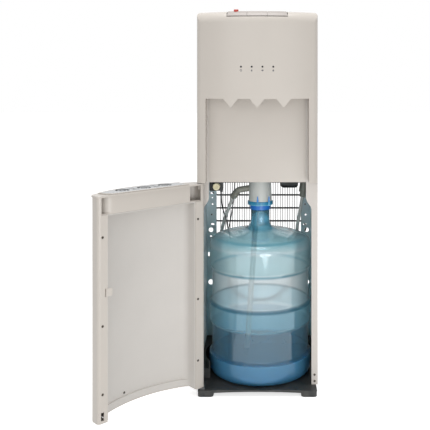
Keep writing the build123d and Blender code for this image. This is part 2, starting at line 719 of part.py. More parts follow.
def make_door_skin():
    rear = -DOOR_GAP
    inner = stile_edges()
    with BuildPart() as skin:
        bowed_slab((DOOR_LOW, skin_top()), rear, corner=EDGE_R, rear_corner=HINGE_CORNER_R)
        bowed_slab((DOOR_LOW + WALL, DOOR_HIGH), rear - WALL, WALL, corner=EDGE_R - WALL,
                   rear_corner=HINGE_CORNER_R - WALL, mode=Mode.SUBTRACT)
        block(inner, (rear - 2 * WALL, rear + 1), (DOOR_LOW - 1, DOOR_HIGH), mode=Mode.SUBTRACT)
        block(POCKET_ENDS, (rear - 2 * WALL, rear + 1), (beam_low(), DOOR_HIGH), mode=Mode.SUBTRACT)
        bowed_slab((DOOR_LOW - 1, DOOR_LOW + WALL + 1), rear + 1, FLOOR_RIM, inner, mode=Mode.SUBTRACT)
        for z in ((DOOR_LOW, DOOR_LOW + HINGE_PIN_LEN + WALL), (DOOR_HIGH - HINGE_PIN_LEN - WALL, skin_top())):
            upright(HINGE_X, HINGE_Y, z, bushing_r() + BOSS_WALL)
        for z in hinge_bores():
            upright(HINGE_X, HINGE_Y, z, bushing_r(), mode=Mode.SUBTRACT)
        catch = CATCH_Z - CATCH_H / 2, CATCH_Z + CATCH_H / 2
        block((CATCH_X - CATCH_W / 2, CATCH_X + CATCH_W / 2), (rear - 3 * WALL, rear + 1), catch,
              mode=Mode.SUBTRACT)
        block((SLOT_X - SLOT_W / 2, SLOT_X + SLOT_W / 2), (rear - 2 * WALL, rear + 1),
              (SLOT_LOW, SLOT_LOW + SLOT_H), mode=Mode.SUBTRACT)
    skin.part.label = "door_skin"
    return skin.part


def bushing_r():
    return HINGE_PIN_R + HINGE_FIT + BUSHING_WALL


def hinge_bores():
    """The two spans of Z in which the hinge pins run."""
    return ((DOOR_LOW, DOOR_LOW + HINGE_PIN_LEN), (DOOR_HIGH - HINGE_PIN_LEN, DOOR_HIGH))


def make_hinge_bushings():
    with BuildPart() as bushings:
        for z in hinge_bores():
            upright(HINGE_X, HINGE_Y, z, bushing_r())
            upright(HINGE_X, HINGE_Y, z, HINGE_PIN_R + HINGE_FIT, mode=Mode.SUBTRACT)
    bushings.part.label = "hinge_bushings"
    return bushings.part


def make_door_liner():
    """A shallow pan behind the skin, bowed like it, with flanges behind the skin's folded edges.

    It is open at the bottom, where a thicker border runs along the bow.
    """
    rear = -DOOR_GAP - WALL
    left, right = stile_edges()
    left, right = left + 1, right - 1
    low = DOOR_LOW + WALL + FIT
    high = beam_low() - FIT
    border = low + LINER_BORDER_H
    with BuildPart() as liner:
        block((left - LINER_FLANGE, right + LINER_FLANGE), (rear - LINER_T, rear), (low, high))
        bowed_slab((low, high), rear, LINER_INSET, (left, right), corner=LINER_R)
        for span, thick in (((low - 1, border), LINER_BORDER), ((border, high - LINER_T), LINER_T)):
            bowed_slab(span, rear + 1, LINER_INSET + thick, (left + LINER_T, right - LINER_T),
                       corner=LINER_R - thick, mode=Mode.SUBTRACT)
    liner.part.label = "door_liner"
    return liner.part


def make_door_top_frame():
    """The plate over the door and the beam under it, with the D-shaped well for the drip tray."""
    rear = -DOOR_GAP
    face = rear - BEAM_BACK
    low = beam_low()
    left, right = BEAM_ENDS
    inset = WALL + FIT
    with BuildPart() as cap:
        bowed_slab((skin_top(), DOOR_HIGH), rear, corner=EDGE_R, rear_corner=HINGE_CORNER_R)
    with BuildPart() as frame:
        bowed_slab((low, low + WALL), face, inset, (POCKET_ENDS[0] + FIT, POCKET_ENDS[1] - FIT))
        bowed_slab((low, skin_top()), face, inset, BEAM_ENDS, end_corner=BEAM_R)
        bowed_slab((low + WALL, skin_top()), face - WALL, inset + WALL, (left + WALL, right - WALL),
                   end_corner=BEAM_R - WALL, mode=Mode.SUBTRACT)
        add(cap.part)
        add(cap.part.moved(Location((CAP_OUT, 0, 0))))
        bowed_slab((skin_top() - 1, DOOR_HIGH + 1), TRAY_BACK + TRAY_FIT, TRAY_INSET - TRAY_FIT,
                   tray_ends(-TRAY_FIT), end_corner=TRAY_R + TRAY_FIT, mode=Mode.SUBTRACT)
        upright(HINGE_X, HINGE_Y, (skin_top() - 1, DOOR_HIGH + 1), bushing_r(), mode=Mode.SUBTRACT)
    frame.part.label = "door_top_frame"
    return frame.part


def tray_ends(inward):
    """The tray's two ends, drawn in by inward."""
    return TRAY_ENDS[0] + inward, TRAY_ENDS[1] - inward


def make_drip_tray():
    """The cup under the grille, hung by a rim that rests on the top of the door."""
    rim_low = DOOR_HIGH + TRAY_SEAT
    low = rim_low - TRAY_DEPTH
    with BuildPart() as tray:
        bowed_slab((low, rim_low), TRAY_BACK, TRAY_INSET, TRAY_ENDS, end_corner=TRAY_R)
        bowed_slab((rim_low, rim_low + TRAY_RIM_T), TRAY_BACK + TRAY_RIM, TRAY_INSET - TRAY_RIM,
                   tray_ends(-TRAY_RIM), end_corner=TRAY_R + TRAY_RIM)
        bowed_slab((low + TRAY_WALL, rim_low + TRAY_RIM_T + 1), TRAY_BACK - TRAY_WALL,
                   TRAY_INSET + TRAY_WALL, tray_ends(TRAY_WALL), end_corner=TRAY_R - TRAY_WALL,
                   mode=Mode.SUBTRACT)
        for x in GRILLE_WEBS:
            block((x - 1, x + 1), (TRAY_BACK - TRAY_WALL - TRAY_RIB, TRAY_BACK - TRAY_WALL),
                  (low + TRAY_WALL, grille_low()))
    tray.part.label = "drip_tray"
    return tray.part


def grille_low():
    """Underside of the grille, whose top is flush with the tray's rim."""
    return DOOR_HIGH + TRAY_SEAT + TRAY_RIM_T - GRILLE_T


def make_drip_grille():
    low = grille_low()
    with BuildPart() as grille:
        bowed_slab((low, low + GRILLE_T), TRAY_BACK - TRAY_WALL - TRAY_FIT, TRAY_INSET + TRAY_WALL + TRAY_FIT,
                   tray_ends(TRAY_WALL + TRAY_FIT), end_corner=TRAY_R - TRAY_WALL - TRAY_FIT)
        with BuildSketch(Plane.XY.offset(low)):
            for x in GRILLE_HOLES:
                with Locations((x, DRIP_Y)):
                    Circle(GRILLE_HOLE_R)
            for x in GRILLE_WEBS:
                for step in range(-2, 3):
                    with Locations((x, DRIP_Y + 2.2 * step * GRILLE_SLOT)):
                        SlotOverall(18 - 2.5 * (2 - abs(step)), GRILLE_SLOT)
        extrude(amount=GRILLE_T, mode=Mode.SUBTRACT)
        with BuildSketch(Plane.XY.offset(low)):
            for x in GRILLE_HOLES:
                with Locations((x, DRIP_Y)):
                    Circle(GRILLE_HOLE_R - 6)
                    Circle(GRILLE_HOLE_R - 9, mode=Mode.SUBTRACT)
                    Rectangle(2 * GRILLE_HOLE_R + 1, 2)
                    Rectangle(2, 2 * GRILLE_HOLE_R + 1)
        extrude(amount=GRILLE_T / 2)
    grille.part.label = "drip_grille"
    return grille.part


def door_screw_places():
    hinge_side = [(HINGE_SCREW_X, z + HINGE_SCREW_UP) for z in DOOR_SCREW_Z]
    return hinge_side + [(DOOR_SCREW_X, z) for z in DOOR_SCREW_Z]


def make_door_screws():
    with BuildPart() as screws:
        for x, z in door_screw_places():
            along_y(x, (-DOOR_GAP, -DOOR_GAP + SCREW_HEAD), z, SCREW_R)
    screws.part.label = "door_screws"
    return screws.part


def make_door_catch():
    """A latch behind the free edge, with a tab that comes out of its slot and lies on the edge."""
    rear = -DOOR_GAP
    slot = CATCH_X - CATCH_W / 2
    low, high = CATCH_Z - CATCH_H / 2 + FIT, CATCH_Z + CATCH_H / 2 - FIT
    with BuildPart() as catch:
        block((slot + 4 * FIT, slot + CATCH_BASE), (rear - 2 * WALL, rear - WALL), (low, high))
        block((slot + FIT, slot + CATCH_W / 2), (rear - WALL, rear + CATCH_T), (low, high))
        block((slot - CATCH_TAB, slot + CATCH_W / 2), (rear, rear + CATCH_T), (low, high))
    catch.part.label = "door_catch"
    return catch.part



# ---- hinges -------------------------------------------------------------------------------------------------
def make_hinge_brackets():
    """Two leaves with pins, one on the base tray and one under the fascia."""
    leaves = ((FLOOR_Z, FLOOR_Z + HINGE_LEAF), (SPLIT_Z - HINGE_LEAF, SPLIT_Z))
    pins = ((FLOOR_Z, DOOR_LOW + HINGE_PIN_LEN - 1), (DOOR_HIGH - HINGE_PIN_LEN + 1, SPLIT_Z))
    with BuildPart() as brackets:
        for leaf, pin in zip(leaves, pins):
            block((-BASE_HALF, HINGE_X + HINGE_REACH), (HINGE_Y - 11, -SHEET), leaf)
            upright(HINGE_X, HINGE_Y, pin, HINGE_PIN_R)
    brackets.part.label = "hinge_brackets"
    return brackets.part


# ---- bottle and probe ------------------------------------------------------------------------------------------
def bottle_face(inset):
    """Half the bottle's outline on the XZ plane through its axis, drawn inset from the outside."""
    full = BOTTLE_R - inset
    waist = full - BOTTLE_WAIST
    low = FLOOR_Z + inset
    neck = NECK_R - inset
    top = CAP_STEP + (2 * inset if inset else 0)
    with BuildSketch(Plane.XZ.offset(-BOTTLE_Y)) as half:
        with BuildLine():
            outline = Polyline(
                (BOTTLE_X, low), (BOTTLE_X + full, low), (BOTTLE_X + full, BAND_LOW[0]),
                (BOTTLE_X + waist, BAND_HIGH[0]), (BOTTLE_X + waist, BAND_HIGH[1]),
                (BOTTLE_X + full, BAND_LOW[1]), (BOTTLE_X + full, BAND_HIGH[2]),
                (BOTTLE_X + waist, BAND_HIGH[3]), (BOTTLE_X + waist, BAND_HIGH[4]),
                (BOTTLE_X + full, BAND_LOW[2]), (BOTTLE_X + full, SHOULDER_Z),
            )
            crease = (BOTTLE_X + full - CREASE_IN, CREASE_Z - inset)
            foot = (BOTTLE_X + NECK_FOOT_R - inset, NECK_FOOT_Z - inset)
            Bezier(outline @ 1, (BOTTLE_X + full, SHOULDER_Z + 14), (crease[0] + 6, crease[1] - 5), crease)
            Bezier(crease, (crease[0] - 20, crease[1] + 10), (foot[0] + 35, foot[1] - 8), foot)
            Bezier(foot, (foot[0] - 14, foot[1] + 3), (BOTTLE_X + neck, foot[1] + 8),
                   (BOTTLE_X + neck, NECK_LOW))
            Polyline((BOTTLE_X + neck, NECK_LOW), (BOTTLE_X + neck, top), (BOTTLE_X, top), (BOTTLE_X, low))
        make_face()
        foot = half.vertices().sort_by(lambda v: v.Y - v.X)[0]
        fillet(foot, BOTTLE_FOOT_R - inset)
        rings = half.vertices().filter_by(
            lambda v: v.X > BOTTLE_X + waist - 1 and BAND_LOW[0] - 1 < v.Y < BAND_LOW[2] + 1)
        fillet(rings, 3)
    return half.sketch


def make_bottle():
    axis = Axis((BOTTLE_X, BOTTLE_Y, 0), (0, 0, 1))
    with BuildPart() as bottle:
        add(bottle_face(0.0))
        revolve(axis=axis)
        add(bottle_face(BOTTLE_WALL))
        revolve(axis=axis, mode=Mode.SUBTRACT)
    bottle.part.label = "bottle"
    return bottle.part


def dip_tube_plane():
    """The plane at the top of the dip tube, facing down along its lean."""
    top_x, top_z = DIP_TOP
    foot_x, foot_z = DIP_FOOT
    return Plane((top_x, BOTTLE_Y, top_z), z_dir=(foot_x - top_x, 0, foot_z - top_z))


def dip_length():
    return hypot(DIP_TOP[0] - DIP_FOOT[0], DIP_TOP[1] - DIP_FOOT[1])


def make_bottle_cap():
    skirt = NECK_R + CAP_SKIRT_T
    with BuildPart() as cap:
        upright(BOTTLE_X, BOTTLE_Y, (CAP_LOW, CAP_STEP), skirt)
        upright(BOTTLE_X, BOTTLE_Y, (CAP_STEP, CAP_TOP), CAP_COLLAR_R)
        fillet(cap.edges().group_by(Axis.Z)[-1], 2)
        upright(BOTTLE_X, BOTTLE_Y, (CAP_LOW - 1, CAP_STEP), NECK_R, mode=Mode.SUBTRACT)
        with BuildSketch(dip_tube_plane()):
            Circle(DIP_R)
        extrude(amount=dip_length(), mode=Mode.SUBTRACT)
    cap.part.label = "bottle_cap"
    return cap.part


def make_cap_tabs():
    """The two pull tabs of the peeled seal, standing up against the hood."""
    with BuildPart() as tabs:
        for x, height in TABS:
            y = BOTTLE_Y - sqrt(CAP_COLLAR_R**2 - (abs(x) - TAB_W / 2) ** 2)
            with BuildSketch(Plane.XZ.offset(-y)) as tab:
                with BuildLine():
                    middle = BOTTLE_X + x
                    Polyline((middle - TAB_W / 2, CAP_STEP), (middle + TAB_W / 2, CAP_STEP),
                             (middle + TAB_TIP / 2, CAP_STEP + height),
                             (middle - TAB_TIP / 2, CAP_STEP + height), close=True)
                make_face()
            extrude(tab.sketch, amount=TAB_T)
    tabs.part.label = "cap_tabs"
    return tabs.part


def make_probe_head():
    with BuildPart() as hood:
        with BuildSketch(Plane.XZ.offset(-BOTTLE_Y)):
            with BuildLine():
                Polyline((BOTTLE_X, CAP_TOP), (BOTTLE_X + HOOD_R, CAP_TOP),
                         (BOTTLE_X + HOOD_TOP_R, HOOD_TOP), (BOTTLE_X, HOOD_TOP), close=True)
            make_face()
        revolve(axis=Axis((BOTTLE_X, BOTTLE_Y, 0), (0, 0, 1)))
        fillet(hood.edges().group_by(Axis.Z)[-1], 4)
        upright(BOTTLE_X, BOTTLE_Y, (CAP_TOP - 1, HOOD_TOP - HOOD_WALL), HOOD_TOP_R - HOOD_WALL,
                mode=Mode.SUBTRACT)
        upright(BOTTLE_X, BOTTLE_Y, (DIP_TOP[1] - 3, HOOD_TOP - HOOD_WALL), DIP_R + 3)
        with BuildSketch(dip_tube_plane()):
            Circle(DIP_R)
        extrude(amount=dip_length(), mode=Mode.SUBTRACT)
        add(make_probe_elbow(), mode=Mode.SUBTRACT)
    hood.part.label = "probe_head"
    return hood.part


def make_probe_tube():
    with BuildPart() as tube:
        with BuildSketch(dip_tube_plane()):
            Circle(DIP_R)
            Circle(DIP_R - 1.5, mode=Mode.SUBTRACT)
        extrude(amount=dip_length())
    tube.part.label = "probe_tube"
    return tube.part


def make_probe_elbow():
    start = (BOTTLE_X - HOOD_TOP_R + 8, BOTTLE_Y, ELBOW_Z)
    end = Vector(*HOSE_ROUTE[0])
    heading = (Vector(*HOSE_ROUTE[1]) - end).normalized()
    knee = (ELBOW_KNEE[0], BOTTLE_Y, ELBOW_KNEE[1])
    with BuildPart() as elbow:
        with BuildLine():
            path = FilletPolyline(start, knee, end + (end - Vector(*knee)).normalized() * 3, radius=ELBOW_BEND)
        with BuildSketch(Plane(path @ 0, z_dir=path % 0)):
            Circle(ELBOW_R)
        sweep()
        with BuildSketch(Plane(path @ 1, z_dir=-(path % 1))):
            Circle(ELBOW_R + ELBOW_NUT_WALL)
        extrude(amount=ELBOW_NUT)
        with BuildSketch(Plane(end, z_dir=heading)):
            Circle(2 * ELBOW_R)
        extrude(amount=ELBOW_R, mode=Mode.SUBTRACT)
    elbow.part.label = "probe_elbow"
    return elbow.part


# ---- under the middle shelf ------------------------------------------------------------------------------------
def make_water_pump():
    with BuildPart() as pump:
        block(PUMP_X, PUMP_Y, (PUMP_LOW, SPLIT_Z))
        fillet(pump.edges().group_by(Axis.Z)[0], PUMP_EDGE)
        block((PUMP_X[0] - PUMP_FLANGE, PUMP_X[1] + PUMP_FLANGE / 2),
              (PUMP_Y[0] - PUMP_FLANGE, PUMP_Y[1] + PUMP_FLANGE), (SPLIT_Z - PUMP_FLANGE_T, SPLIT_Z))
    pump.part.label = "water_pump"
    return pump.part


def make_pump_inlet_fitting():
    end = Vector(*HOSE_ROUTE[-1])
    heading = (end - Vector(*HOSE_ROUTE[-2])).normalized()
    with BuildPart() as fitting:
        with BuildSketch(Plane(end, z_dir=heading)):
            Circle(FITTING_R * 0.7)
        extrude(amount=FITTING_UP)
        with BuildSketch(Plane(end + heading * FITTING_NECK, z_dir=heading)):
            Circle(FITTING_R)
        extrude(amount=FITTING_UP - FITTING_NECK)
        along_x((PUMP_X[1], end.X), end.Y, SPLIT_Z - INLET_DROP, FITTING_R * 0.7)
    fitting.part.label = "pump_inlet_fitting"
    return fitting.part


def make_door_switch_body():
    with BuildPart() as body:
        block(SWITCH_X, SWITCH_Y, (SWITCH_LOW, SPLIT_Z))
        fillet(body.edges().filter_by(Axis.Y), 2)
        along_y(PLUNGER_X, (SWITCH_Y[0] - 1, SWITCH_Y[0] + PLUNGER_IN + PLUNGER_TRAVEL + PLUNGER_FIT),
                PLUNGER_Z, PLUNGER_R + PLUNGER_FIT, mode=Mode.SUBTRACT)
        x, y, z = LEAD_ROUTE[0]
        upright(x, y, (z, SWITCH_LOW), LEAD_R + 1.5)
    body.part.label = "door_switch_body"
    return body.part


def make_door_switch_plunger():
    with BuildPart() as plunger:
        along_y(PLUNGER_X, (SWITCH_Y[0] - PLUNGER_OUT, SWITCH_Y[0] + PLUNGER_IN), PLUNGER_Z, PLUNGER_R)
        fillet(plunger.edges().group_by(Axis.Y)[0], 1.5)
        along_y(PLUNGER_X, (SWITCH_Y[0] - PLUNGER_OUT - 1, SWITCH_Y[0] - PLUNGER_OUT + 2), PLUNGER_Z,
                PLUNGER_R - 4.5, mode=Mode.SUBTRACT)
    plunger.part.label = "door_switch_plunger"
    return plunger.part


def make_shelf_grommet():
    x, y, z = LEAD_ROUTE[-1]
    with BuildPart() as grommet:
        upright(x, y, (z, SPLIT_Z), GROMMET_R)
    grommet.part.label = "shelf_grommet"
    return grommet.part


# ---- cooling and heating set -----------------------------------------------------------------------------------
def compressor_feet():
    reach = COMPRESSOR_R * COMPRESSOR_FEET
    return [(COMPRESSOR_X + sx * reach, COMPRESSOR_Y + sy * reach) for sx in (-1, 1) for sy in (-1, 1)]


def make_compressor():
    low = SPLIT_Z + SHEET + GROMMET_H
    with BuildPart() as shell:
        upright(COMPRESSOR_X, COMPRESSOR_Y, (low + COMPRESSOR_PLATE_T, low + COMPRESSOR_H), COMPRESSOR_R)
        fillet(shell.edges().group_by(Axis.Z)[-1], COMPRESSOR_TOP_R)
        fillet(shell.edges().group_by(Axis.Z)[0], COMPRESSOR_FOOT_R)
        side = COMPRESSOR_R * COMPRESSOR_FEET + COMPRESSOR_PLATE
        block((COMPRESSOR_X - side, COMPRESSOR_X + side), (COMPRESSOR_Y - side, COMPRESSOR_Y + side),
              (low, low + COMPRESSOR_PLATE_T))
    shell.part.label = "compressor"
    return shell.part


def make_compressor_grommets():
    low = SPLIT_Z + SHEET
    with BuildPart() as grommets:
        for x, y in compressor_feet():
            upright(x, y, (low, low + GROMMET_H), ISOLATOR_R)
    grommets.part.label = "compressor_grommets"
    return grommets.part


def make_cold_tank():
    with BuildPart() as tank:
        upright(TANK_X, TANK_Y, (TANK_SHELF_Z + FOAM_T, TANK_SHELF_Z + COLD_H), COLD_R)
        fillet(tank.edges(), COLD_EDGE)
        upright(TANK_X, TANK_Y, (TANK_SHELF_Z + COLD_H - 1, HEADER_Z - HEADER_R), TUBE_R)
    tank.part.label = "cold_tank"
    return tank.part


def make_cold_tank_foam():
    with BuildPart() as foam:
        upright(TANK_X, TANK_Y, (TANK_SHELF_Z, TANK_SHELF_Z + COLD_H - FOAM_DROP), COLD_R + FOAM_T)
        upright(TANK_X, TANK_Y, (TANK_SHELF_Z + FOAM_T, TANK_SHELF_Z + COLD_H), COLD_R,
                mode=Mode.SUBTRACT)
    foam.part.label = "cold_tank_foam"
    return foam.part


def make_hot_tank():
    with BuildPart() as tank:
        upright(-TANK_X, TANK_Y, (TANK_SHELF_Z + HOT_FOOT, TANK_SHELF_Z + HOT_H), HOT_R)
        fillet(tank.edges(), HOT_EDGE)
        upright(-TANK_X, TANK_Y, (TANK_SHELF_Z + HOT_H - 1, HEADER_Z - HEADER_R), TUBE_R)
        upright(-TANK_X, TANK_Y, (TANK_SHELF_Z, TANK_SHELF_Z + HOT_FOOT + 1), HOT_R - 1.5 * HOT_EDGE)
    tank.part.label = "hot_tank"
    return tank.part


def make_water_header():
    """The pipe that feeds both tanks and the tap for water at room temperature."""
    with BuildPart() as header:
        along_x((-TANK_X - HEADER_END, TANK_X + HEADER_END), TANK_Y, HEADER_Z, HEADER_R)
    header.part.label = "water_header"
    return header.part


def make_spout_hoses():
    """A line from the top of each spout, up behind the fascia and back to the header."""
    with BuildPart() as hoses:
        for x in SPOUT_X:
            route = [(x, SPOUT_Y, SPOUT_HIGH), (x, SPOUT_Y, (SPOUT_HIGH + HEADER_Z) / 2),
                     (x, SPOUT_Y / 4, HEADER_Z), (x, TANK_Y - HEADER_R, HEADER_Z)]
            points, radii = tube_path(route, 0.4)
            with BuildLine():
                path = FilletPolyline(*points, radius=radii)
            with BuildSketch(Plane(path @ 0, z_dir=path % 0)):
                Circle(TUBE_R)
            sweep(path=path)
    hoses.part.label = "spout_hoses"
    return hoses.part


def make_filter_drier():
    x = HALF_IN - DRIER_IN
    y = CABINET_D - DRIER_IN
    foot = SPLIT_Z + SHEET
    low = foot + DRIER_UP
    high = low + DRIER_H
    with BuildPart() as drier:
        upright(x, y, (low, high), DRIER_R)
        fillet(drier.edges(), DRIER_R / 2)
        upright(x, y, (foot, low + 1), DRIER_PIPE_R)
        upright(x, y, (high - 1, high + 2 * DRIER_UP), DRIER_PIPE_R / 2)
    drier.part.label = "filter_drier"
    return drier.part


# ---- back ----------------------------------------------------------------------------------------------------------
def coil_y():
    return CABINET_D + COIL_STAND


def coil_z(row):
    return COIL_TOP - row * COIL_PITCH


def make_condenser_tube():
    bend = COIL_PITCH / 2 - 0.05
    points = []
    for row in range(COIL_ROWS):
        ends = (-COIL_HALF, COIL_HALF) if row % 2 == 0 else (COIL_HALF, -COIL_HALF)
        points += [(x, coil_y(), coil_z(row)) for x in ends]
    with BuildPart() as coil:
        with BuildLine():
            path = FilletPolyline(*points, radius=bend)
        with BuildSketch(Plane(path @ 0, z_dir=path % 0)):
            Circle(COIL_R)
        sweep()
    coil.part.label = "condenser_tube"
    return coil.part


def make_condenser_wires():
    low = coil_z(COIL_ROWS - 1) - 12
    high = coil_z(0) + 12
    with BuildPart() as wires:
        for index in range(WIRE_COUNT):
            x = (index - (WIRE_COUNT - 1) / 2) * WIRE_PITCH
            for face in (-1, 1):
                upright(x, coil_y() + face * (COIL_R + WIRE_R), (low, high), WIRE_R)
    wires.part.label = "condenser_wires"
    return wires.part


def clip_places():
    return [(side * CLIP_X, coil_z(row)) for side in (-1, 1) for row in CLIP_ROWS]


def make_condenser_brackets():
    with BuildPart() as clips:
        for x, z in clip_places():
            block((x - CLIP_W / 2, x + CLIP_W / 2), (CABINET_D + rear_skin(z), CABINET_D + COIL_STAND - COIL_R),
                  (z - 5, z + 5))
            block((x - CLIP_W / 2, x + CLIP_W / 2), (CABINET_D + rear_skin(z), CABINET_D + 2 + SHEET / 2),
                  (z - 5, z + 19))
    clips.part.label = "condenser_brackets"
    return clips.part


def rear_skin(z):
    """The sheet that stands outside the rear flanges at height z."""
    return SHEET if z > BACK_LOW else 0.0


def make_condenser_screws():
    with BuildPart() as screws:
        for x, z in clip_places():
            start = CABINET_D + 2 + SHEET / 2
            along_y(x, (start, start + 2), z + 13, CLIP_SCREW_R)
    screws.part.label = "condenser_screws"
    return screws.part


def rocker_places():
    return (SWITCH_PLATE_X - ROCKER_PITCH / 2, SWITCH_PLATE_X + ROCKER_PITCH / 2)


def rocker_y():
    return CABINET_D + SHEET + SWITCH_PLATE[2] / 2


def make_rear_switch_panel():
    width, height, depth = SWITCH_PLATE
    rear = CABINET_D + SHEET
    with BuildPart() as plate:
        block((SWITCH_PLATE_X - width / 2, SWITCH_PLATE_X + width / 2), (rear, rear + depth),
              (SWITCH_PLATE_Z - height / 2, SWITCH_PLATE_Z + height / 2))
        for x in rocker_places():
            room_x = ROCKER[0] / 2 + PLUNGER_FIT
            room_z = ROCKER[2] / 2 + ROCKER_ROOM
            block((x - room_x, x + room_x), (rear - 1, rear + depth + 1),
                  (SWITCH_PLATE_Z - room_z, SWITCH_PLATE_Z + room_z), mode=Mode.SUBTRACT)
            pin = ROCKER[0] / 2 + ROCKER_PIN_LEN + FIT
            along_x((x - pin, x + pin), rocker_y(), SWITCH_PLATE_Z, ROCKER_PIN_R + HINGE_FIT,
                    mode=Mode.SUBTRACT)
    plate.part.label = "rear_switch_panel"
    return plate.part


def make_rocker(x, name):
    width, depth, height = ROCKER
    pin = width / 2 + ROCKER_PIN_LEN
    with BuildPart() as rocker:
        block((x - width / 2, x + width / 2), (rocker_y() - depth / 2, rocker_y() + depth / 2),
              (SWITCH_PLATE_Z - height / 2, SWITCH_PLATE_Z + height / 2))
        along_x((x - pin, x + pin), rocker_y(), SWITCH_PLATE_Z, ROCKER_PIN_R)
    rocker.part.label = name
    return rocker.part


def make_power_inlet():
    rear = CABINET_D + SHEET
    with BuildPart() as inlet:
        along_y(INLET_X, (rear - 8, rear + 3), INLET_Z, INLET_R)
        along_y(INLET_X, (rear, rear + 3), INLET_Z, INLET_R + 4)
        along_y(INLET_X, (rear + 3, rear + 9), INLET_Z, INLET_R - 2)
        along_y(INLET_X, (rear - 9, rear + 10), INLET_Z, 4, mode=Mode.SUBTRACT)
    inlet.part.label = "power_inlet"
    return inlet.part


def make_drain_spout():
    rear = CABINET_D + SHEET
    with BuildPart() as drain:
        along_y(DRAIN_X, (rear - 10, rear + DRAIN_OUT), DRAIN_Z, DRAIN_R)
        along_y(DRAIN_X, (rear, rear + 3), DRAIN_Z, DRAIN_R + 5)
        along_y(DRAIN_X, (rear - 11, rear + DRAIN_OUT + 1), DRAIN_Z, DRAIN_BORE, mode=Mode.SUBTRACT)
    drain.part.label = "drain_spout"
    return drain.part


def make_drain_plug():
    rear = CABINET_D + SHEET
    end = rear + DRAIN_OUT + 3
    with BuildPart() as plug:
        along_y(DRAIN_X, (end - PLUG_LEN, end), DRAIN_Z, PLUG_R)
        fillet(plug.edges().group_by(Axis.Y)[-1], 2)
        along_y(DRAIN_X, (end - PLUG_LEN - 1, rear + DRAIN_OUT + PLUG_FIT), DRAIN_Z, DRAIN_R + PLUG_FIT,
                mode=Mode.SUBTRACT)
    plug.part.label = "drain_plug"
    return plug.part


def open_door(piece):
    """A piece of the door, turned open about the hinge."""
    turned = piece.rotate(Axis((HINGE_X, HINGE_Y, 0), (0, 0, 1)), -DOOR_OPEN)
    turned.label = piece.label
    return turned


def make_all():
    door = [make_door_skin(), make_door_liner(), make_door_top_frame(), make_drip_tray(),
            make_drip_grille(), make_door_screws(), make_door_catch(), make_hinge_bushings()]
    rest = [
        side_panel(-1, "side_panel_left"), side_panel(1, "side_panel_right"), make_post_screws(),
        make_back_panel(), make_mid_shelf(), make_tank_shelf(), make_top_cover(),
        make_base_tray(), make_rubber_feet(), make_bottle_cradle(),
        make_front_fascia(), make_niche_back(), make_child_lock(), make_indicator_lenses(),
        make_control_board(), make_hinge_brackets(), make_spouts(), make_spout_hoses(),
        make_bottle(), make_bottle_cap(), make_cap_tabs(), make_probe_head(), make_probe_tube(),
        make_probe_elbow(), make_water_pump(), make_pump_inlet_fitting(),
        make_door_switch_body(), make_door_switch_plunger(), make_shelf_grommet(),
        make_compressor(), make_compressor_grommets(), make_cold_tank(), make_cold_tank_foam(),
        make_hot_tank(), make_water_header(), make_filter_drier(),
        make_condenser_tube(), make_condenser_wires(), make_condenser_brackets(),
        make_condenser_screws(), make_rear_switch_panel(), make_power_inlet(),
        make_drain_spout(), make_drain_plug(),
        cord_tube(HOSE_ROUTE, HOSE_R, "probe_hose"), cord_tube(LEAD_ROUTE, LEAD_R, "switch_lead"),
    ]
    rest += [make_key(index, f"{name}_key") for index, name in enumerate(("hot", "room", "cold"))]
    rest += [make_rocker(x, name) for x, name in zip(rocker_places(), ("heater_rocker", "cooling_rocker"))]
    return rest + [open_door(piece) for piece in door]


def write(pieces):
    """Write each piece with the origin under the middle of the whole box."""
    box = Compound([solid for piece in pieces for solid in piece.solids()]).bounding_box()
    middle = box.center()
    to_origin = Location((-middle.X, -middle.Y, -box.min.Z))
    os.makedirs("parts", exist_ok=True)
    for piece in pieces:
        export_step(piece.moved(to_origin), f"parts/{piece.label}.step")
    print("origin in cabinet sizes:", round(middle.X, 3), round(middle.Y, 3), round(box.min.Z, 3))
    print("box:", box.size)


write(make_all())
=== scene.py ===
"""Looks of the bottom load water cooler: finishes for its parts, and the pieces of finer shape.

Sizes are typed in millimetres from the middle of the cabinet, as in the part's source, and at()
turns them into metres in the shared frame. Pieces of the door are set out with the door closed,
and on_door() turns them to where they lie with the door open.
"""
import bpy
import bmesh
from math import cos, pi, radians, sin, sqrt, tan
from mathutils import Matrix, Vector
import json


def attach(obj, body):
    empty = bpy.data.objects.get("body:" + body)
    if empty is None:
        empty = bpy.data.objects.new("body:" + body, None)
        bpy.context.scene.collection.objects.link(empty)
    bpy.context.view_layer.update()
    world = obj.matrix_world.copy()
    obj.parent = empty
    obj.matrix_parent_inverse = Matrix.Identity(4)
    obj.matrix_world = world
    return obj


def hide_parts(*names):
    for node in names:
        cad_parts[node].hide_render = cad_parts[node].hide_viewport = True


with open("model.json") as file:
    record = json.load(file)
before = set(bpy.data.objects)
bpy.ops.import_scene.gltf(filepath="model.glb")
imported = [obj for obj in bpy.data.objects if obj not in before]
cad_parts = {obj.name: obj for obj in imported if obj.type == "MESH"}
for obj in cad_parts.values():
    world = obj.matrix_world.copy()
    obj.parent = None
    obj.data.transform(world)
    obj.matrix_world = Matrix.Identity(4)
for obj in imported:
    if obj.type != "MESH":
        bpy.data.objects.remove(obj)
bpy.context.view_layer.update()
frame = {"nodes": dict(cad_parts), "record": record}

# ---- sizes shared with the part's source, mm -----------------------------------------------------
MIDDLE = (-111.705, 43.244)     # the shared origin, in cabinet sizes
HINGE = (-147.0, -16.5)
DOOR_OPEN = 137.0
BOW_R = 314.51
BOW_Y = 239.51
CABINET_D = 290.0
HALF_IN = 153.8
EDGE = 0.3                      # how far past a limit a face still counts as on it
LIGHT_PITCH = 26.7
LIGHT_Z = 834.0
SIGN_Z = LIGHT_Z - 9.0
SIGN_PROUD, SIGN_SUNK = 0.15, 0.2

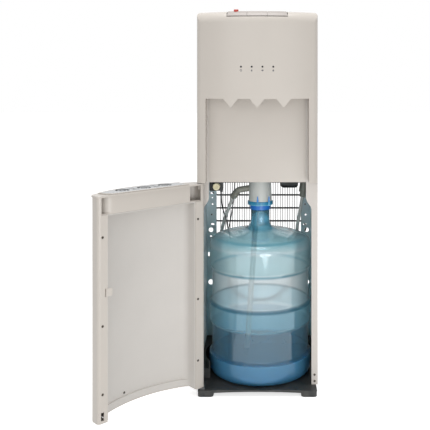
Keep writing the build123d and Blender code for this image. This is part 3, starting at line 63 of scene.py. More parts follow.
BOTTLE_X, BOTTLE_Y = 6.0, 110.0
FULL_R, WAIST_R, NECK_R, WALL = 137.5, 130.0, 25.4, 1.6
FOOT_R = 22.0
FOOT_Z, FOOT_TOP = 17.0, 70.0
WAISTS = ((78.0, 150.0), (211.0, 292.0))
BANDS = ((157.0, 203.0), (304.0, 352.0))
CREASE_IN, CREASE_Z = 11.5, 376.0
NECK_FOOT_R, NECK_FOOT_Z = 47.0, 397.0
NECK_LOW = 425.0
CAP_STEP, CAP_TOP = 462.5, 472.5    # the bottle's lip lies at the step
WATER_Z = 73.0
WATER_GAP = 0.35                # keeps the water off the bottle's wall

HOSE_R = 4.7
HOSE_ROUTE = [
    (-68, 125, 480.5), (-101.6, 188, 398.6), (-117, 228, 296), (-101, 252, 212), (-56, 263, 167),
    (4, 264, 150), (62, 261, 169), (104, 248, 226), (118, 226, 303), (108, 208, 372),
    (118.5, 202, 425), (125, 200, 468),
]
LEAD_R = 1.75
LEAD_ROUTE = [
    (-97, 60, 503), (-97, 60, 476), (-93, 88, 447), (-88, 128, 421), (-87, 172, 391),
    (-86, 212, 369), (-81, 232, 396), (-74, 233, 438), (-68, 226, 488), (-68, 226, 538),
]

DOOR_SCREW_Z = (87.0, 242.0, 444.0)
HINGE_SIDE_UP = 6.0             # the screws at the hinge sit this much higher
DOOR_SCREWS = [
    (x, -3.0, z + up)
    for x, up in ((-131.0, HINGE_SIDE_UP), (141.5, 0.0))
    for z in DOOR_SCREW_Z
]
LINER_SCREW_X, LINER_SCREW_Z = 48.0, 46.0
LINER_IN = 9.5                  # the liner's face lies this far inside the bow
POST_SCREWS = [(147.0, 0.0, 42.0), (147.0, 0.0, 25.5)]
SCREW_R, SCREW_H = 0.003, 0.0014    # m


def at(x, y, z):
    return Vector(((x - MIDDLE[0]) / 1000, (y - MIDDLE[1]) / 1000, z / 1000))


def on_door(x, y, z):
    """A point of the closed door, where it lies with the door open."""
    turn = radians(-DOOR_OPEN)
    dx, dy = x - HINGE[0], y - HINGE[1]
    across, along = dx * cos(turn) - dy * sin(turn), dx * sin(turn) + dy * cos(turn)
    return at(HINGE[0] + across, HINGE[1] + along, z)


def bow_y(x, inset=0.0):
    return BOW_Y - sqrt((BOW_R - inset) ** 2 - x * x)


# ---- camera --------------------------------------------------------------------------------------
PICTURE = 430                   # px, both ways
FOCAL = 734                     # px
AXIS_AT = (267.2, 76.0)         # px, where the camera's axis meets the picture
EYE = (25.0, -1890.0, 811.0)
SENSOR = 36.0


def set_camera():
    lens = bpy.data.cameras.new("view_from_front")
    lens.sensor_width = SENSOR
    lens.lens = SENSOR * FOCAL / PICTURE
    lens.shift_x = (PICTURE / 2 - AXIS_AT[0]) / PICTURE
    lens.shift_y = (AXIS_AT[1] - PICTURE / 2) / PICTURE
    lens.clip_end = 60
    camera = bpy.data.objects.new("view_from_front", lens)
    bpy.context.scene.collection.objects.link(camera)
    camera.location = at(*EYE)
    camera.rotation_euler = (pi / 2, 0, 0)
    bpy.context.scene.camera = camera


# ---- shader node helpers -------------------------------------------------------------------------
def put(tree, kind, values=None, **settings):
    """A node with its settings and its input values; a socket given as a value is linked."""
    node = tree.nodes.new(kind)
    for name, value in settings.items():
        setattr(node, name, value)
    for name, value in (values or {}).items():
        socket = node.inputs[name]
        if isinstance(value, bpy.types.NodeSocket):
            tree.links.new(value, socket)
        else:
            socket.default_value = value
    return node


def mixed(tree, factor, first, second):
    node = put(tree, "ShaderNodeMix", {0: factor, 6: first, 7: second}, data_type="RGBA")
    return node.outputs[2]


def worked(tree, operation, first, second=0.0, clamp=False):
    node = put(tree, "ShaderNodeMath", {0: first, 1: second}, operation=operation, use_clamp=clamp)
    return node.outputs[0]


def product(tree, *values):
    total = values[0]
    for value in values[1:]:
        total = worked(tree, "MULTIPLY", total, value)
    return total


def spread(tree, value, low, high, to_low=0.0, to_high=1.0, smooth=False):
    node = put(tree, "ShaderNodeMapRange", {0: value, 1: low, 2: high, 3: to_low, 4: to_high})
    node.interpolation_type = "SMOOTHSTEP" if smooth else "LINEAR"
    return node.outputs[0]


def place(tree):
    """Object coordinates and their three parts."""
    coords = put(tree, "ShaderNodeTexCoord").outputs["Object"]
    parts = put(tree, "ShaderNodeSeparateXYZ", {0: coords})
    return coords, parts.outputs


def ends(tree):
    """The sockets that a tree is given, and those that it makes."""
    return tree.nodes.new("NodeGroupInput").outputs, tree.nodes.new("NodeGroupOutput").inputs


def new_group(name, inputs, outputs):
    """A shader group with number inputs, given as {name: value}, and number outputs."""
    tree = bpy.data.node_groups.new(name, "ShaderNodeTree")
    for label, value in inputs.items():
        socket = tree.interface.new_socket(label, in_out="INPUT", socket_type="NodeSocketFloat")
        socket.default_value = value
    for label in outputs:
        tree.interface.new_socket(label, in_out="OUTPUT", socket_type="NodeSocketFloat")
    return tree, *ends(tree)


def noise(tree, coords, scale, detail, roughness=0.5):
    return put(tree, "ShaderNodeTexNoise", {
        "Vector": coords, "Scale": scale, "Detail": detail, "Roughness": roughness}).outputs[0]


def grain_group():
    """Fine moulded or sprayed grain for the bump, and a slow mottling for the colour."""
    tree, given, made = new_group("moulded_grain", {"Grain Scale": 900.0, "Mottle Scale": 9.0},
                                  ("Height", "Tone"))
    coords, _ = place(tree)
    fine = noise(tree, coords, given[0], 3.0)
    slow = noise(tree, coords, given[1], 5.0, 0.6)
    tree.links.new(fine, made["Height"])
    tree.links.new(spread(tree, slow, 0.3, 0.7), made["Tone"])
    return tree


def dust_group():
    """Dust and splashes that thin out with height above the floor."""
    tree, given, made = new_group("settled_dust", {"Reach": 0.3, "Amount": 0.4}, ("Mask",))
    coords, parts = place(tree)
    low = worked(tree, "SUBTRACT", 1.0, worked(tree, "DIVIDE", parts["Z"], given[0]), clamp=True)
    patches = spread(tree, noise(tree, coords, 34.0, 7.0, 0.7), 0.38, 0.68)
    tree.links.new(product(tree, low, patches, given[1]), made["Mask"])
    return tree


def scuff_group():
    """Short hairline marks from handling."""
    tree, given, made = new_group("handling_marks", {"Scale": 40.0, "Amount": 0.5}, ("Mask",))
    coords, _ = place(tree)
    drawn_out = put(tree, "ShaderNodeMapping", {
        "Vector": coords, "Rotation": (0.4, 0.9, 0.3), "Scale": (1, 14, 1)}).outputs[0]
    streaks = spread(tree, noise(tree, drawn_out, given[0], 2.0), 0.66, 0.72)
    patches = spread(tree, noise(tree, coords, 11.0, 2.0), 0.5, 0.62)
    tree.links.new(product(tree, streaks, patches, given[1]), made["Mask"])
    return tree


GRAIN, DUST, SCUFF = grain_group(), dust_group(), scuff_group()
DUST_COLOUR = (0.52, 0.49, 0.45)


def grouped(tree, group, **values):
    """The outputs of a shared group, with its inputs set by name."""
    node = tree.nodes.new("ShaderNodeGroup")
    node.node_tree = group
    for name, value in values.items():
        node.inputs[name.replace("_", " ")].default_value = value
    return node.outputs


def shade(colour, factor):
    return (*(min(c * factor, 1.0) for c in colour[:3]), 1.0)


def new_finish(name):
    material = bpy.data.materials.new(name)
    material.use_nodes = True
    tree = material.node_tree
    return material, tree, tree.nodes["Principled BSDF"]


def set_constants(shader, **constants):
    for label, value in constants.items():
        shader.inputs[label.replace("_", " ")].default_value = value


def raise_grain(tree, shader, height, strength, distance):
    bump = put(tree, "ShaderNodeBump", {
        "Height": height, "Strength": strength, "Distance": distance})
    tree.links.new(bump.outputs[0], shader.inputs["Normal"])


def finish(name, colour, rough, grain=900.0, bump=0.08, mottle=9.0, darker=0.94,
           dust=(0.0, 0.0), scuffs=0.0, base=None, **constants):
    """A finish with its own grain, mottling, dust (reach and amount) and hairlines.

    base, if given, makes the base colour from the tree in place of the plain one.
    """
    material, tree, shader = new_finish(name)
    output = grouped(tree, GRAIN, Grain_Scale=grain, Mottle_Scale=mottle)
    if base is None:
        tone = mixed(tree, output["Tone"], shade(colour, darker), (*colour, 1.0))
    else:
        tone = base(tree, output["Tone"])
    roughness = spread(tree, output["Tone"], 0.0, 1.0, rough - 0.04, rough + 0.05)
    if dust[1]:
        mask = grouped(tree, DUST, Reach=dust[0], Amount=dust[1])["Mask"]
        tone = mixed(tree, mask, tone, (*DUST_COLOUR, 1.0))
        roughness = worked(tree, "ADD", roughness, product(tree, mask, 0.3), clamp=True)
    if scuffs:
        marks = grouped(tree, SCUFF, Scale=60.0, Amount=scuffs)["Mask"]
        tone = mixed(tree, marks, tone, shade(colour, 1.25))
        roughness = worked(tree, "ADD", roughness, product(tree, marks, 0.25), clamp=True)
    tree.links.new(tone, shader.inputs["Base Color"])
    tree.links.new(roughness, shader.inputs["Roughness"])
    if bump:
        raise_grain(tree, shader, output["Height"], bump, 0.0006)
    set_constants(shader, **constants)
    return material


# ---- finishes ------------------------------------------------------------------------------------
WHITE = (0.52, 0.48, 0.435)
PAINT = (0.55, 0.515, 0.48)
# Pale stops at the ring edges are painted highlights and dark ones painted shade; the bands'
# lighter and darker blues by height are painted light too.
BOTTLE_BLUES_AND_PAINTED_LIGHT = [                # the height in mm of each colour
    (17, (0.13, 0.50, 0.76)), (68, (0.20, 0.60, 0.82)), (73, (0.10, 0.36, 0.58)),
    (81, (0.20, 0.42, 0.56)), (148, (0.28, 0.50, 0.63)), (153, (0.66, 0.86, 0.92)),
    (158, (0.44, 0.74, 0.86)), (200, (0.48, 0.78, 0.88)), (206, (0.10, 0.34, 0.46)),
    (213, (0.93, 0.99, 1.0)), (289, (0.96, 1.0, 1.0)), (296, (0.22, 0.52, 0.64)),
    (300, (0.84, 0.97, 0.98)), (306, (0.66, 0.87, 0.90)), (350, (0.68, 0.89, 0.93)),
    (357, (0.90, 0.98, 0.99)), (374, (0.58, 0.86, 0.93)), (377, (0.36, 0.72, 0.84)),
    (381, (0.68, 0.93, 0.98)), (394, (0.66, 0.92, 0.98)), (398, (0.26, 0.62, 0.78)),
    (430, (0.36, 0.76, 0.93)),
]
REAR_FROST, FOOT_FROST = 0.46, 0.42


def panel_paint():
    """Sprayed outside of the steel sides; their bare inside is tinted by painted bottle light."""
    def coat(tree, tone):
        _, parts = place(tree)
        across = worked(tree, "ABSOLUTE", worked(tree, "SUBTRACT", parts["X"], at(0, 0, 0).x))
        inside = worked(tree, "LESS_THAN", across, (HALF_IN + EDGE) / 1000)
        behind = worked(tree, "GREATER_THAN", parts["Y"], at(0, 1.0, 0).y)
        ahead = worked(tree, "LESS_THAN", parts["Y"], at(0, CABINET_D - EDGE, 0).y)
        bare = product(tree, inside, behind, ahead)
        # The bare inside is tinted blue-green, greener and darker towards the bottom: painted light
        # from the blue bottle.
        height = spread(tree, parts["Z"], 0.05, 0.5)
        zinc_in_painted_bottle_light = mixed(tree, height, (0.55, 0.72, 0.72, 1), (0.68, 0.80, 0.84, 1))
        zinc_in_painted_bottle_light = mixed(tree, tone, zinc_in_painted_bottle_light, mixed(tree, 0.12, zinc_in_painted_bottle_light, (1, 1, 1, 1)))
        paint = mixed(tree, tone, shade(PAINT, 0.96), (*PAINT, 1))
        return mixed(tree, bare, paint, zinc_in_painted_bottle_light)

    return finish("panel_paint", PAINT, 0.42, grain=1500, bump=0.12, dust=(0.12, 0.25), base=coat)


def heights(tree, stops, z):
    """Colours set at heights in mm, blended between them."""
    reach = 500
    ramp = put(tree, "ShaderNodeValToRGB", {0: spread(tree, z, 0.0, reach / 1000)})
    while len(ramp.color_ramp.elements) < len(stops):
        ramp.color_ramp.elements.new(0.5)
    for element, (height, colour) in zip(ramp.color_ramp.elements, stops):
        element.position = height / reach
        element.color = (*colour, 1)
    return ramp.outputs[0]


def bottle_blue():
    """Blown polycarbonate, clear in front, frosted behind, and deeper at the foot;
    its blues by height and the pale and dark lines at the rings' bends are painted light.
    """
    material, tree, shader = new_finish("bottle_blue")
    output = grouped(tree, GRAIN, Grain_Scale=55.0, Mottle_Scale=7.0)
    _, parts = place(tree)
    # Painted highlights and painted shade: the lighter and darker bands and ring-edge lines of the
    # table.
    tone = heights(tree, BOTTLE_BLUES_AND_PAINTED_LIGHT, parts["Z"])
    tone = mixed(tree, product(tree, output["Tone"], 0.12), tone, (0.30, 0.62, 0.80, 1))
    tree.links.new(tone, shader.inputs["Base Color"])
    start, end = at(0, BOTTLE_Y - 40, 0).y, at(0, BOTTLE_Y + 40, 0).y
    behind = product(tree, spread(tree, parts["Y"], start, end, smooth=True), REAR_FROST)
    start, end = (FOOT_TOP - 4) / 1000, (FOOT_TOP + 4) / 1000
    foot = product(tree, spread(tree, parts["Z"], start, end, 1.0, 0.0, smooth=True), FOOT_FROST)
    frost = worked(tree, "MAXIMUM", behind, foot)
    rough = worked(tree, "ADD", frost, spread(tree, output["Tone"], 0, 1, 0.03, 0.08))
    tree.links.new(rough, shader.inputs["Roughness"])
    raise_grain(tree, shader, output["Height"], 0.12, 0.002)
    set_constants(shader, Transmission_Weight=0.86, IOR=1.46, Coat_Weight=0.5, Coat_Roughness=0.04)
    return material


def water():
    """Water with a little light scattered in it, so that it reads as a body of blue."""
    material, tree, shader = new_finish("water")
    output = grouped(tree, GRAIN, Grain_Scale=18.0, Mottle_Scale=6.0)
    tone = mixed(tree, output["Tone"], (0.20, 0.66, 0.93, 1), (0.26, 0.72, 0.96, 1))
    tree.links.new(tone, shader.inputs["Base Color"])
    raise_grain(tree, shader, output["Height"], 0.06, 0.004)
    set_constants(shader, Roughness=0.06, Transmission_Weight=0.66, IOR=1.33)
    return material


def cap_blue():
    """Royal blue skirt and tabs under a paler, greener collar, with painted shade at its foot."""
    def dye(tree, tone):
        _, parts = place(tree)
        height = parts["Z"]
        step, top = CAP_STEP / 1000, CAP_TOP / 1000
        collar = worked(tree, "GREATER_THAN", height, step - 0.0002)
        skirt = mixed(tree, tone, (0.012, 0.14, 0.52, 1), (0.02, 0.19, 0.62, 1))
        # The collar is darker just above the step: painted shade.
        edge = spread(tree, height, step + 0.0005, step + 0.0035, 1.0, 0.0)
        teal_with_painted_foot_shade = mixed(tree, edge, (0.02, 0.24, 0.42, 1), (0.14, 0.44, 0.60, 1))
        tab = spread(tree, height, top + 0.0001, top + 0.0011)
        return mixed(tree, collar, skirt, mixed(tree, tab, teal_with_painted_foot_shade, (0.02, 0.22, 0.60, 1)))

    return finish("cap_blue", (0.05, 0.25, 0.55), 0.3, base=dye)


def make_finishes():
    """The finish for each of the record's material slots, and four for single pieces."""
    return {
        "panel_paint": panel_paint(),
        "white_plastic": finish("white_plastic", WHITE, 0.34, grain=1300, bump=0.05, darker=0.97,
                                dust=(0.1, 0.2), Coat_Weight=0.15, Coat_Roughness=0.2),
        "liner_grey": finish("liner_grey", (0.575, 0.55, 0.52), 0.5, grain=1100, bump=0.1,
                             darker=0.96, dust=(0.2, 0.15)),
        "key_grey": finish("key_grey", (0.37, 0.335, 0.31), 0.45, grain=1500, bump=0.12),
        "red_plastic": finish("red_plastic", (0.48, 0.05, 0.035), 0.3, bump=0.04),
        "black_plastic": finish("black_plastic", (0.008, 0.0105, 0.0115), 0.48, grain=1700,
                                bump=0.35, mottle=14, darker=0.75, dust=(0.08, 0.10), scuffs=0.2),
        "rubber_black": finish("rubber_black", (0.02, 0.02, 0.02), 0.75, grain=1900, bump=0.3,
                               dust=(0.02, 0.5)),
        "bottle_blue": bottle_blue(),
        "cap_blue": cap_blue(),
        "hood_grey": finish("hood_grey", (0.60, 0.61, 0.58), 0.42, grain=1200, mottle=22),
        "galvanised": finish("galvanised", (0.32, 0.37, 0.39), 0.38, grain=160, bump=0.05,
                             mottle=70, darker=0.8, scuffs=0.4, Metallic=0.8),
        "bright_steel": finish("bright_steel", (0.6, 0.6, 0.6), 0.25, grain=500, mottle=60,
                               scuffs=0.4, Metallic=1.0),
        "coil_black": finish("coil_black", (0.012, 0.012, 0.013), 0.35, grain=700, bump=0.1,
                             dust=(0.6, 0.12)),
        "machine_black": finish("machine_black", (0.015, 0.015, 0.016), 0.3, grain=500, bump=0.15,
                                mottle=20, darker=0.7),
        "tank_steel": finish("tank_steel", (0.55, 0.56, 0.57), 0.28, grain=300, mottle=40,
                             scuffs=0.5, Metallic=1.0),
        "copper": finish("copper", (0.72, 0.36, 0.22), 0.3, mottle=30, darker=0.7, Metallic=1.0),
        "foam": finish("foam", (0.75, 0.70, 0.55), 0.85, grain=260, bump=0.6, darker=0.85),
        "board_green": finish("board_green", (0.02, 0.14, 0.05), 0.4, grain=350, bump=0.2,
                              mottle=120, darker=0.6),
        "lens_dark": finish("lens_dark", (0.02, 0.02, 0.022), 0.15, bump=0.0),
        "silicone": finish("silicone", (0.66, 0.66, 0.62), 0.5, grain=600),
        "hose_grey": finish("hose_grey", (0.60, 0.61, 0.58), 0.45, bump=0.12, mottle=30,
                            darker=0.85),
        "cream_plastic": finish("cream_plastic", (0.72, 0.66, 0.44), 0.35, mottle=40),
        "tray_silver": finish("tray_silver", (0.45, 0.46, 0.47), 0.3, grain=1500, bump=0.06,
                              mottle=30, Metallic=0.35),
        "dark_screw": finish("dark_screw", (0.10, 0.085, 0.07), 0.4, mottle=300, darker=0.5,
                             Metallic=0.85),
        "water": water(),
        "milky_tube": finish("milky_tube", (0.70, 0.76, 0.76), 0.35, grain=300, bump=0.03,
                             Transmission_Weight=0.25),
        "olive_grey": finish("olive_grey", (0.27, 0.27, 0.23), 0.45, mottle=30, darker=0.8),
        "print_grey": finish("print_grey", (0.10, 0.10, 0.11), 0.5, bump=0.0),
    }


FINISH = make_finishes()
OWN_FINISH = {
    "probe_tube": "milky_tube",
    "probe_elbow": "olive_grey",
    "pump_inlet_fitting": "olive_grey",
    "door_catch": "white_plastic",
}


def dress_parts():
    """Every CAD part in the finish of its slot, apart from the few with one of their own."""
    for part in frame["record"]["subparts"]:
        node = frame["nodes"][part["node"]]
        node.data.materials.clear()
        node.data.materials.append(FINISH[OWN_FINISH.get(part["node"], part["material_slot"])])


# ---- mesh helpers --------------------------------------------------------------------------------
def new_piece(name, mesh, material, body, smooth=True):
    piece = bpy.data.objects.new(name, mesh)
    bpy.context.scene.collection.objects.link(piece)
    if not mesh.materials:
        mesh.materials.append(FINISH[material])
    if smooth:
        mesh.shade_smooth()
    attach(piece, body)
    return piece


def as_mesh(name, shape):
    mesh = bpy.data.meshes.new(name)
    shape.to_mesh(mesh)
    shape.free()
    return mesh


def closed_mesh(name, shape):
    """The mesh of a closed body, with its faces turned outward."""
    bmesh.ops.remove_doubles(shape, verts=shape.verts, dist=1e-7)
    bmesh.ops.recalc_face_normals(shape, faces=shape.faces)
    return as_mesh(name, shape)


def rounded_line(points, radii, steps=5):
    """A line in a plane whose corners are rounded by the radii given for its inner points."""
    line = [Vector(points[0])]
    for before, here, after, radius in zip(points, points[1:], points[2:], radii):
        before, here, after = Vector(before), Vector(here), Vector(after)
        into, out = (here - before).normalized(), (after - here).normalized()
        turn = into.angle(out)
        if radius <= 0 or turn < 0.02:
            line.append(here)
            continue
        shorter = min((here - before).length, (after - here).length)
        reach = min(radius * tan(turn / 2), 0.49 * shorter)
        start, end = here - into * reach, here + out * reach
        for step in range(steps + 1):
            share = step / steps
            line.append(start.lerp(here, share).lerp(here.lerp(end, share), share))
    line.append(Vector(points[-1]))
    return line


def turned(name, outline, steps=144):
    """A closed body of revolution about the bottle's axis; the outline runs from axis to axis."""
    shape = bmesh.new()
    rings = []
    for radius, z in outline:
        if radius < 1e-6:
            rings.append([shape.verts.new(at(BOTTLE_X, BOTTLE_Y, z))])
        else:
            rings.append([
                shape.verts.new(at(BOTTLE_X + radius * cos(2 * pi * i / steps),
                                   BOTTLE_Y + radius * sin(2 * pi * i / steps), z))
                for i in range(steps)
            ])
    for low, high in zip(rings, rings[1:]):
        for i in range(steps):
            j = (i + 1) % steps
            if len(low) == 1:
                shape.faces.new((low[0], high[i], high[j]))
            elif len(high) == 1:
                shape.faces.new((low[i], high[0], low[j]))
            else:
                shape.faces.new((low[i], high[i], high[j], low[j]))
    return closed_mesh(name, shape)


# ---- bottle and its water ------------------------------------------------------------------------
def swept(a, b, c, d, steps=16):
    """Points along a Bezier curve after its start."""
    a, b, c, d = (Vector(p) for p in (a, b, c, d))
    shares = [step / steps for step in range(1, steps + 1)]
    return [tuple(a * (1 - t) ** 3 + b * 3 * t * (1 - t) ** 2 + c * 3 * t * t * (1 - t) + d * t**3)
            for t in shares]


def bottle_outline(inset, bend):
    """Half the bottle's outline as (radius, height), from the foot's middle to the lip.

    The inside is bent less tightly than the outside, so that the rings gather light.
    """
    full, waist, neck, low = FULL_R - inset, WAIST_R - inset, NECK_R - inset, FOOT_Z + inset
    corners = [(0, low), (full, low), (full, FOOT_TOP)]
    for (waist_low, waist_high), (band_low, band_high) in zip(WAISTS, BANDS):
        corners += [(waist, waist_low), (waist, waist_high), (full, band_low), (full, band_high)]
    radii = [FOOT_R - inset] + [bend] * (len(corners) - 2)
    line = [tuple(p) for p in rounded_line(corners, radii)]
    shoulder = BANDS[-1][1]
    crease = (full - CREASE_IN, CREASE_Z - inset)
    foot = (NECK_FOOT_R - inset, NECK_FOOT_Z - inset)
    line += swept((full, shoulder), (full, shoulder + 14), (crease[0] + 6, crease[1] - 5), crease)
    line += swept(crease, (crease[0] - 20, crease[1] + 10), (foot[0] + 35, foot[1] - 8), foot)
    line += swept(foot, (foot[0] - 14, foot[1] + 3), (neck, foot[1] + 8), (neck, NECK_LOW))
    return with_supports(line)


def with_supports(line, near=1.5, far=8.0):
    """The line with a point near both ends of each long run, so that its bends shade crisply."""
    supported = [line[0]]
    for before, here in zip(line, line[1:]):
        a, b = Vector(before), Vector(here)
        length = (b - a).length
        if length > far and min(before[0], here[0]) > 1:
            supported += [tuple(a.lerp(b, near / length)), tuple(a.lerp(b, 1 - near / length))]
        supported.append(here)
    return supported


OUTER_BEND, INNER_BEND = 2.4, 7.0


def make_bottle():
    outer = bottle_outline(0.0, OUTER_BEND)
    inner = bottle_outline(WALL, INNER_BEND)
    outline = outer + [(NECK_R, CAP_STEP), (NECK_R - WALL, CAP_STEP)] + inner[::-1]
    bottle = new_piece("bottle_clear", turned("bottle_clear", outline), "bottle_blue", "cabinet")
    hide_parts("bottle")


def make_water():
    """What is left in the bottle, with a small meniscus at its wall."""
    inner = [p for p in bottle_outline(WALL + WATER_GAP, INNER_BEND) if p[1] < WATER_Z - 1]
    edge = WAIST_R - WALL - WATER_GAP
    meniscus = [(edge, WATER_Z + 1.2), (edge - 0.8, WATER_Z + 0.4), (edge - 2.4, WATER_Z)]
    outline = inner + meniscus + [(0, WATER_Z)]
    new_piece("bottle_water", turned("bottle_water", outline), "water", "cabinet")


# ---- Geometry Nodes ------------------------------------------------------------------------------
def new_tree(name, inputs):
    """A Geometry Nodes tree with its named inputs, given as {name: (kind, value)}."""
    tree = bpy.data.node_groups.new(name, "GeometryNodeTree")
    tree.interface.new_socket("Geometry", in_out="INPUT", socket_type="NodeSocketGeometry")
    for label, (kind, value) in inputs.items():
        socket = tree.interface.new_socket(label, in_out="INPUT", socket_type=f"NodeSocket{kind}")
        if value is not None:
            socket.default_value = value
    tree.interface.new_socket("Geometry", in_out="OUTPUT", socket_type="NodeSocketGeometry")
    return tree, *ends(tree)


def finished(tree, instances, material, made):
    """Makes the instances real, and gives them their material and the tree's output."""
    real = put(tree, "GeometryNodeRealizeInstances", {0: instances})
    paint = put(tree, "GeometryNodeSetMaterial", {
        "Geometry": real.outputs[0], "Material": material})
    tree.links.new(paint.outputs[0], made[0])


def head_tree():
    """A pan head with a cross recess, set on every point and turned along the point's normal."""
    tree, given, made = new_tree("cross_head_screws", {
        "Radius": ("Float", SCREW_R), "Height": ("Float", SCREW_H), "Material": ("Material", None)})
    radius, height = given["Radius"], given["Height"]
    ball = put(tree, "GeometryNodeMeshUVSphere", {"Segments": 24, "Rings": 12, "Radius": 1.0})
    size = put(tree, "ShaderNodeCombineXYZ", {0: radius, 1: radius, 2: height})
    dome = put(tree, "GeometryNodeTransform", {
        "Geometry": ball.outputs[0], "Scale": size.outputs[0]})
    slot = worked(tree, "MULTIPLY", radius, 0.30)
    long = worked(tree, "MULTIPLY", radius, 1.25)
    deep = worked(tree, "MULTIPLY", height, 1.1)
    lift = put(tree, "ShaderNodeCombineXYZ", {2: height})
    cuts = []
    for across, along in ((slot, long), (long, slot)):
        size = put(tree, "ShaderNodeCombineXYZ", {0: across, 1: along, 2: deep})
        bar = put(tree, "GeometryNodeMeshCube", {"Size": size.outputs[0]})
        cuts.append(put(tree, "GeometryNodeTransform", {
            "Geometry": bar.outputs[0], "Translation": lift.outputs[0]}).outputs[0])
    head = dome.outputs[0]
    for cut in cuts:
        carve = put(tree, "GeometryNodeMeshBoolean", {"Mesh 1": head}, operation="DIFFERENCE",
                    solver="EXACT")
        tree.links.new(cut, carve.inputs["Mesh 2"])
        head = carve.outputs[0]
    normal = put(tree, "GeometryNodeInputNormal").outputs[0]
    turn = put(tree, "FunctionNodeAlignRotationToVector", {"Vector": normal}, axis="Z")
    keep = put(tree, "GeometryNodeCaptureAttribute", {"Geometry": given["Geometry"]}, domain="FACE")
    keep.capture_items.new("ROTATION", "Turn")
    tree.links.new(turn.outputs[0], keep.inputs["Turn"])
    points = put(tree, "GeometryNodeMeshToPoints", {"Mesh": keep.outputs[0]}, mode="FACES")
    heads = put(tree, "GeometryNodeInstanceOnPoints", {
        "Points": points.outputs[0], "Instance": head, "Rotation": keep.outputs["Turn"]})
    finished(tree, heads.outputs[0], given["Material"], made)
    return tree


def drop_tree():
    """Drops scattered over the faces given, flattened against the wall that they sit on."""
    tree, given, made = new_tree("beaded_drops", {
        "Density": ("Float", 900.0), "Size": ("Float", 0.0016), "Seed": ("Int", 7),
        "Material": ("Material", None)})
    spots = put(tree, "GeometryNodeDistributePointsOnFaces", {
        "Mesh": given["Geometry"], "Density": given["Density"], "Seed": given["Seed"]})
    ball = put(tree, "GeometryNodeMeshIcoSphere", {"Radius": given["Size"], "Subdivisions": 2})
    flat = put(tree, "GeometryNodeTransform", {
        "Geometry": ball.outputs[0], "Scale": (1.0, 1.0, 0.45)})
    size = put(tree, "FunctionNodeRandomValue", {2: 0.4, 3: 1.4, "Seed": given["Seed"]},
               data_type="FLOAT")
    drops = put(tree, "GeometryNodeInstanceOnPoints", {
        "Points": spots.outputs["Points"], "Instance": flat.outputs[0],
        "Rotation": spots.outputs["Rotation"], "Scale": size.outputs[1]})
    finished(tree, drops.outputs[0], given["Material"], made)
    return tree


def grown(name, seed_mesh, tree, values, material, body, smooth=True):
    """A piece whose plain mesh a tree makes from a seed mesh."""
    seed = bpy.data.objects.new(f"{name}_seed", seed_mesh)
    bpy.context.scene.collection.objects.link(seed)
    modifier = seed.modifiers.new("grow", "NODES")
    modifier.node_group = tree
    for socket in tree.interface.items_tree:
        if socket.in_out == "INPUT" and socket.name in values:
            modifier[socket.identifier] = values[socket.name]
    depsgraph = bpy.context.evaluated_depsgraph_get()
    mesh = bpy.data.meshes.new_from_object(seed.evaluated_get(depsgraph), depsgraph=depsgraph)
    mesh.name = name
    bpy.data.objects.remove(seed)
    return new_piece(name, mesh, material, body, smooth)


def seed_faces(name, places):
    """A small square for each (point, outward direction), which gives a screw its place."""
    shape = bmesh.new()
    for point, outward in places:
        outward = outward.normalized()
        side = outward.cross(Vector((0, 0, 1))).normalized() * 0.001
        up = Vector((0, 0, 0.001))
        corners = [point - side - up, point + side - up, point + side + up, point - side + up]
        face = shape.faces.new([shape.verts.new(c) for c in corners])
        face.normal_update()
        if face.normal.dot(outward) < 0:
            face.normal_flip()
    return as_mesh(name, shape)


def make_screws():
    """Heads for the screws of the door, of its liner and of the right post."""
    outward = on_door(0, 1, 0) - on_door(0, 0, 0)
    doors = [(on_door(*p), outward) for p in DOOR_SCREWS]
    face = bow_y(LINER_SCREW_X, LINER_IN)
    doors.append((on_door(LINER_SCREW_X, face, LINER_SCREW_Z),
                  on_door(0, BOW_Y, 0) - on_door(LINER_SCREW_X, face, 0)))
    posts = [(at(*p), Vector((0, -1, 0))) for p in POST_SCREWS]
    tree = head_tree()
    values = {"Radius": SCREW_R, "Height": SCREW_H, "Material": FINISH["dark_screw"]}
    for name, places, body in (("door", doors, "door"), ("post", posts, "cabinet")):
        piece = grown(f"{name}_screw_heads", seed_faces(f"{name}_seed", places), tree, values,
                      "dark_screw", body, smooth=False)
        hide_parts(f"{name}_screws")


DROPS_FROM, DROPS_OVER = -10.0, 75.0    # degrees round the bottle, from its front
DROP_RINGS = (WATER_Z + 12, 112.0, 142.0)


def make_drops():
    """Beads of water on the inside of the bottle, above the water."""
    radius = WAIST_R - WALL - 0.1
    shape = bmesh.new()
    steps = 60
    angles = [radians(DROPS_FROM + DROPS_OVER * i / steps) for i in range(steps + 1)]
    rings = [[shape.verts.new(at(BOTTLE_X + radius * sin(a), BOTTLE_Y - radius * cos(a), z))
              for a in angles] for z in DROP_RINGS]
    for low, high in zip(rings, rings[1:]):
        for i in range(steps):
            shape.faces.new((low[i], low[i + 1], high[i + 1], high[i]))
    values = {"Density": 3200.0, "Size": 0.0015, "Seed": 11, "Material": FINISH["water"]}
    grown("bottle_drops", as_mesh("drop_wall", shape), drop_tree(), values, "water", "cabinet")


# ---- signs under the lights ----------------------------------------------------------------------
FLAME = [
    (0.3, 3.1), (-1.0, 1.2), (-1.9, -0.4), (-1.6, -1.9), (-0.5, -2.8), (0.8, -2.8),
    (1.7, -1.9), (1.8, -0.6), (1.2, 0.6), (0.7, 0.2), (0.8, 1.6),
]


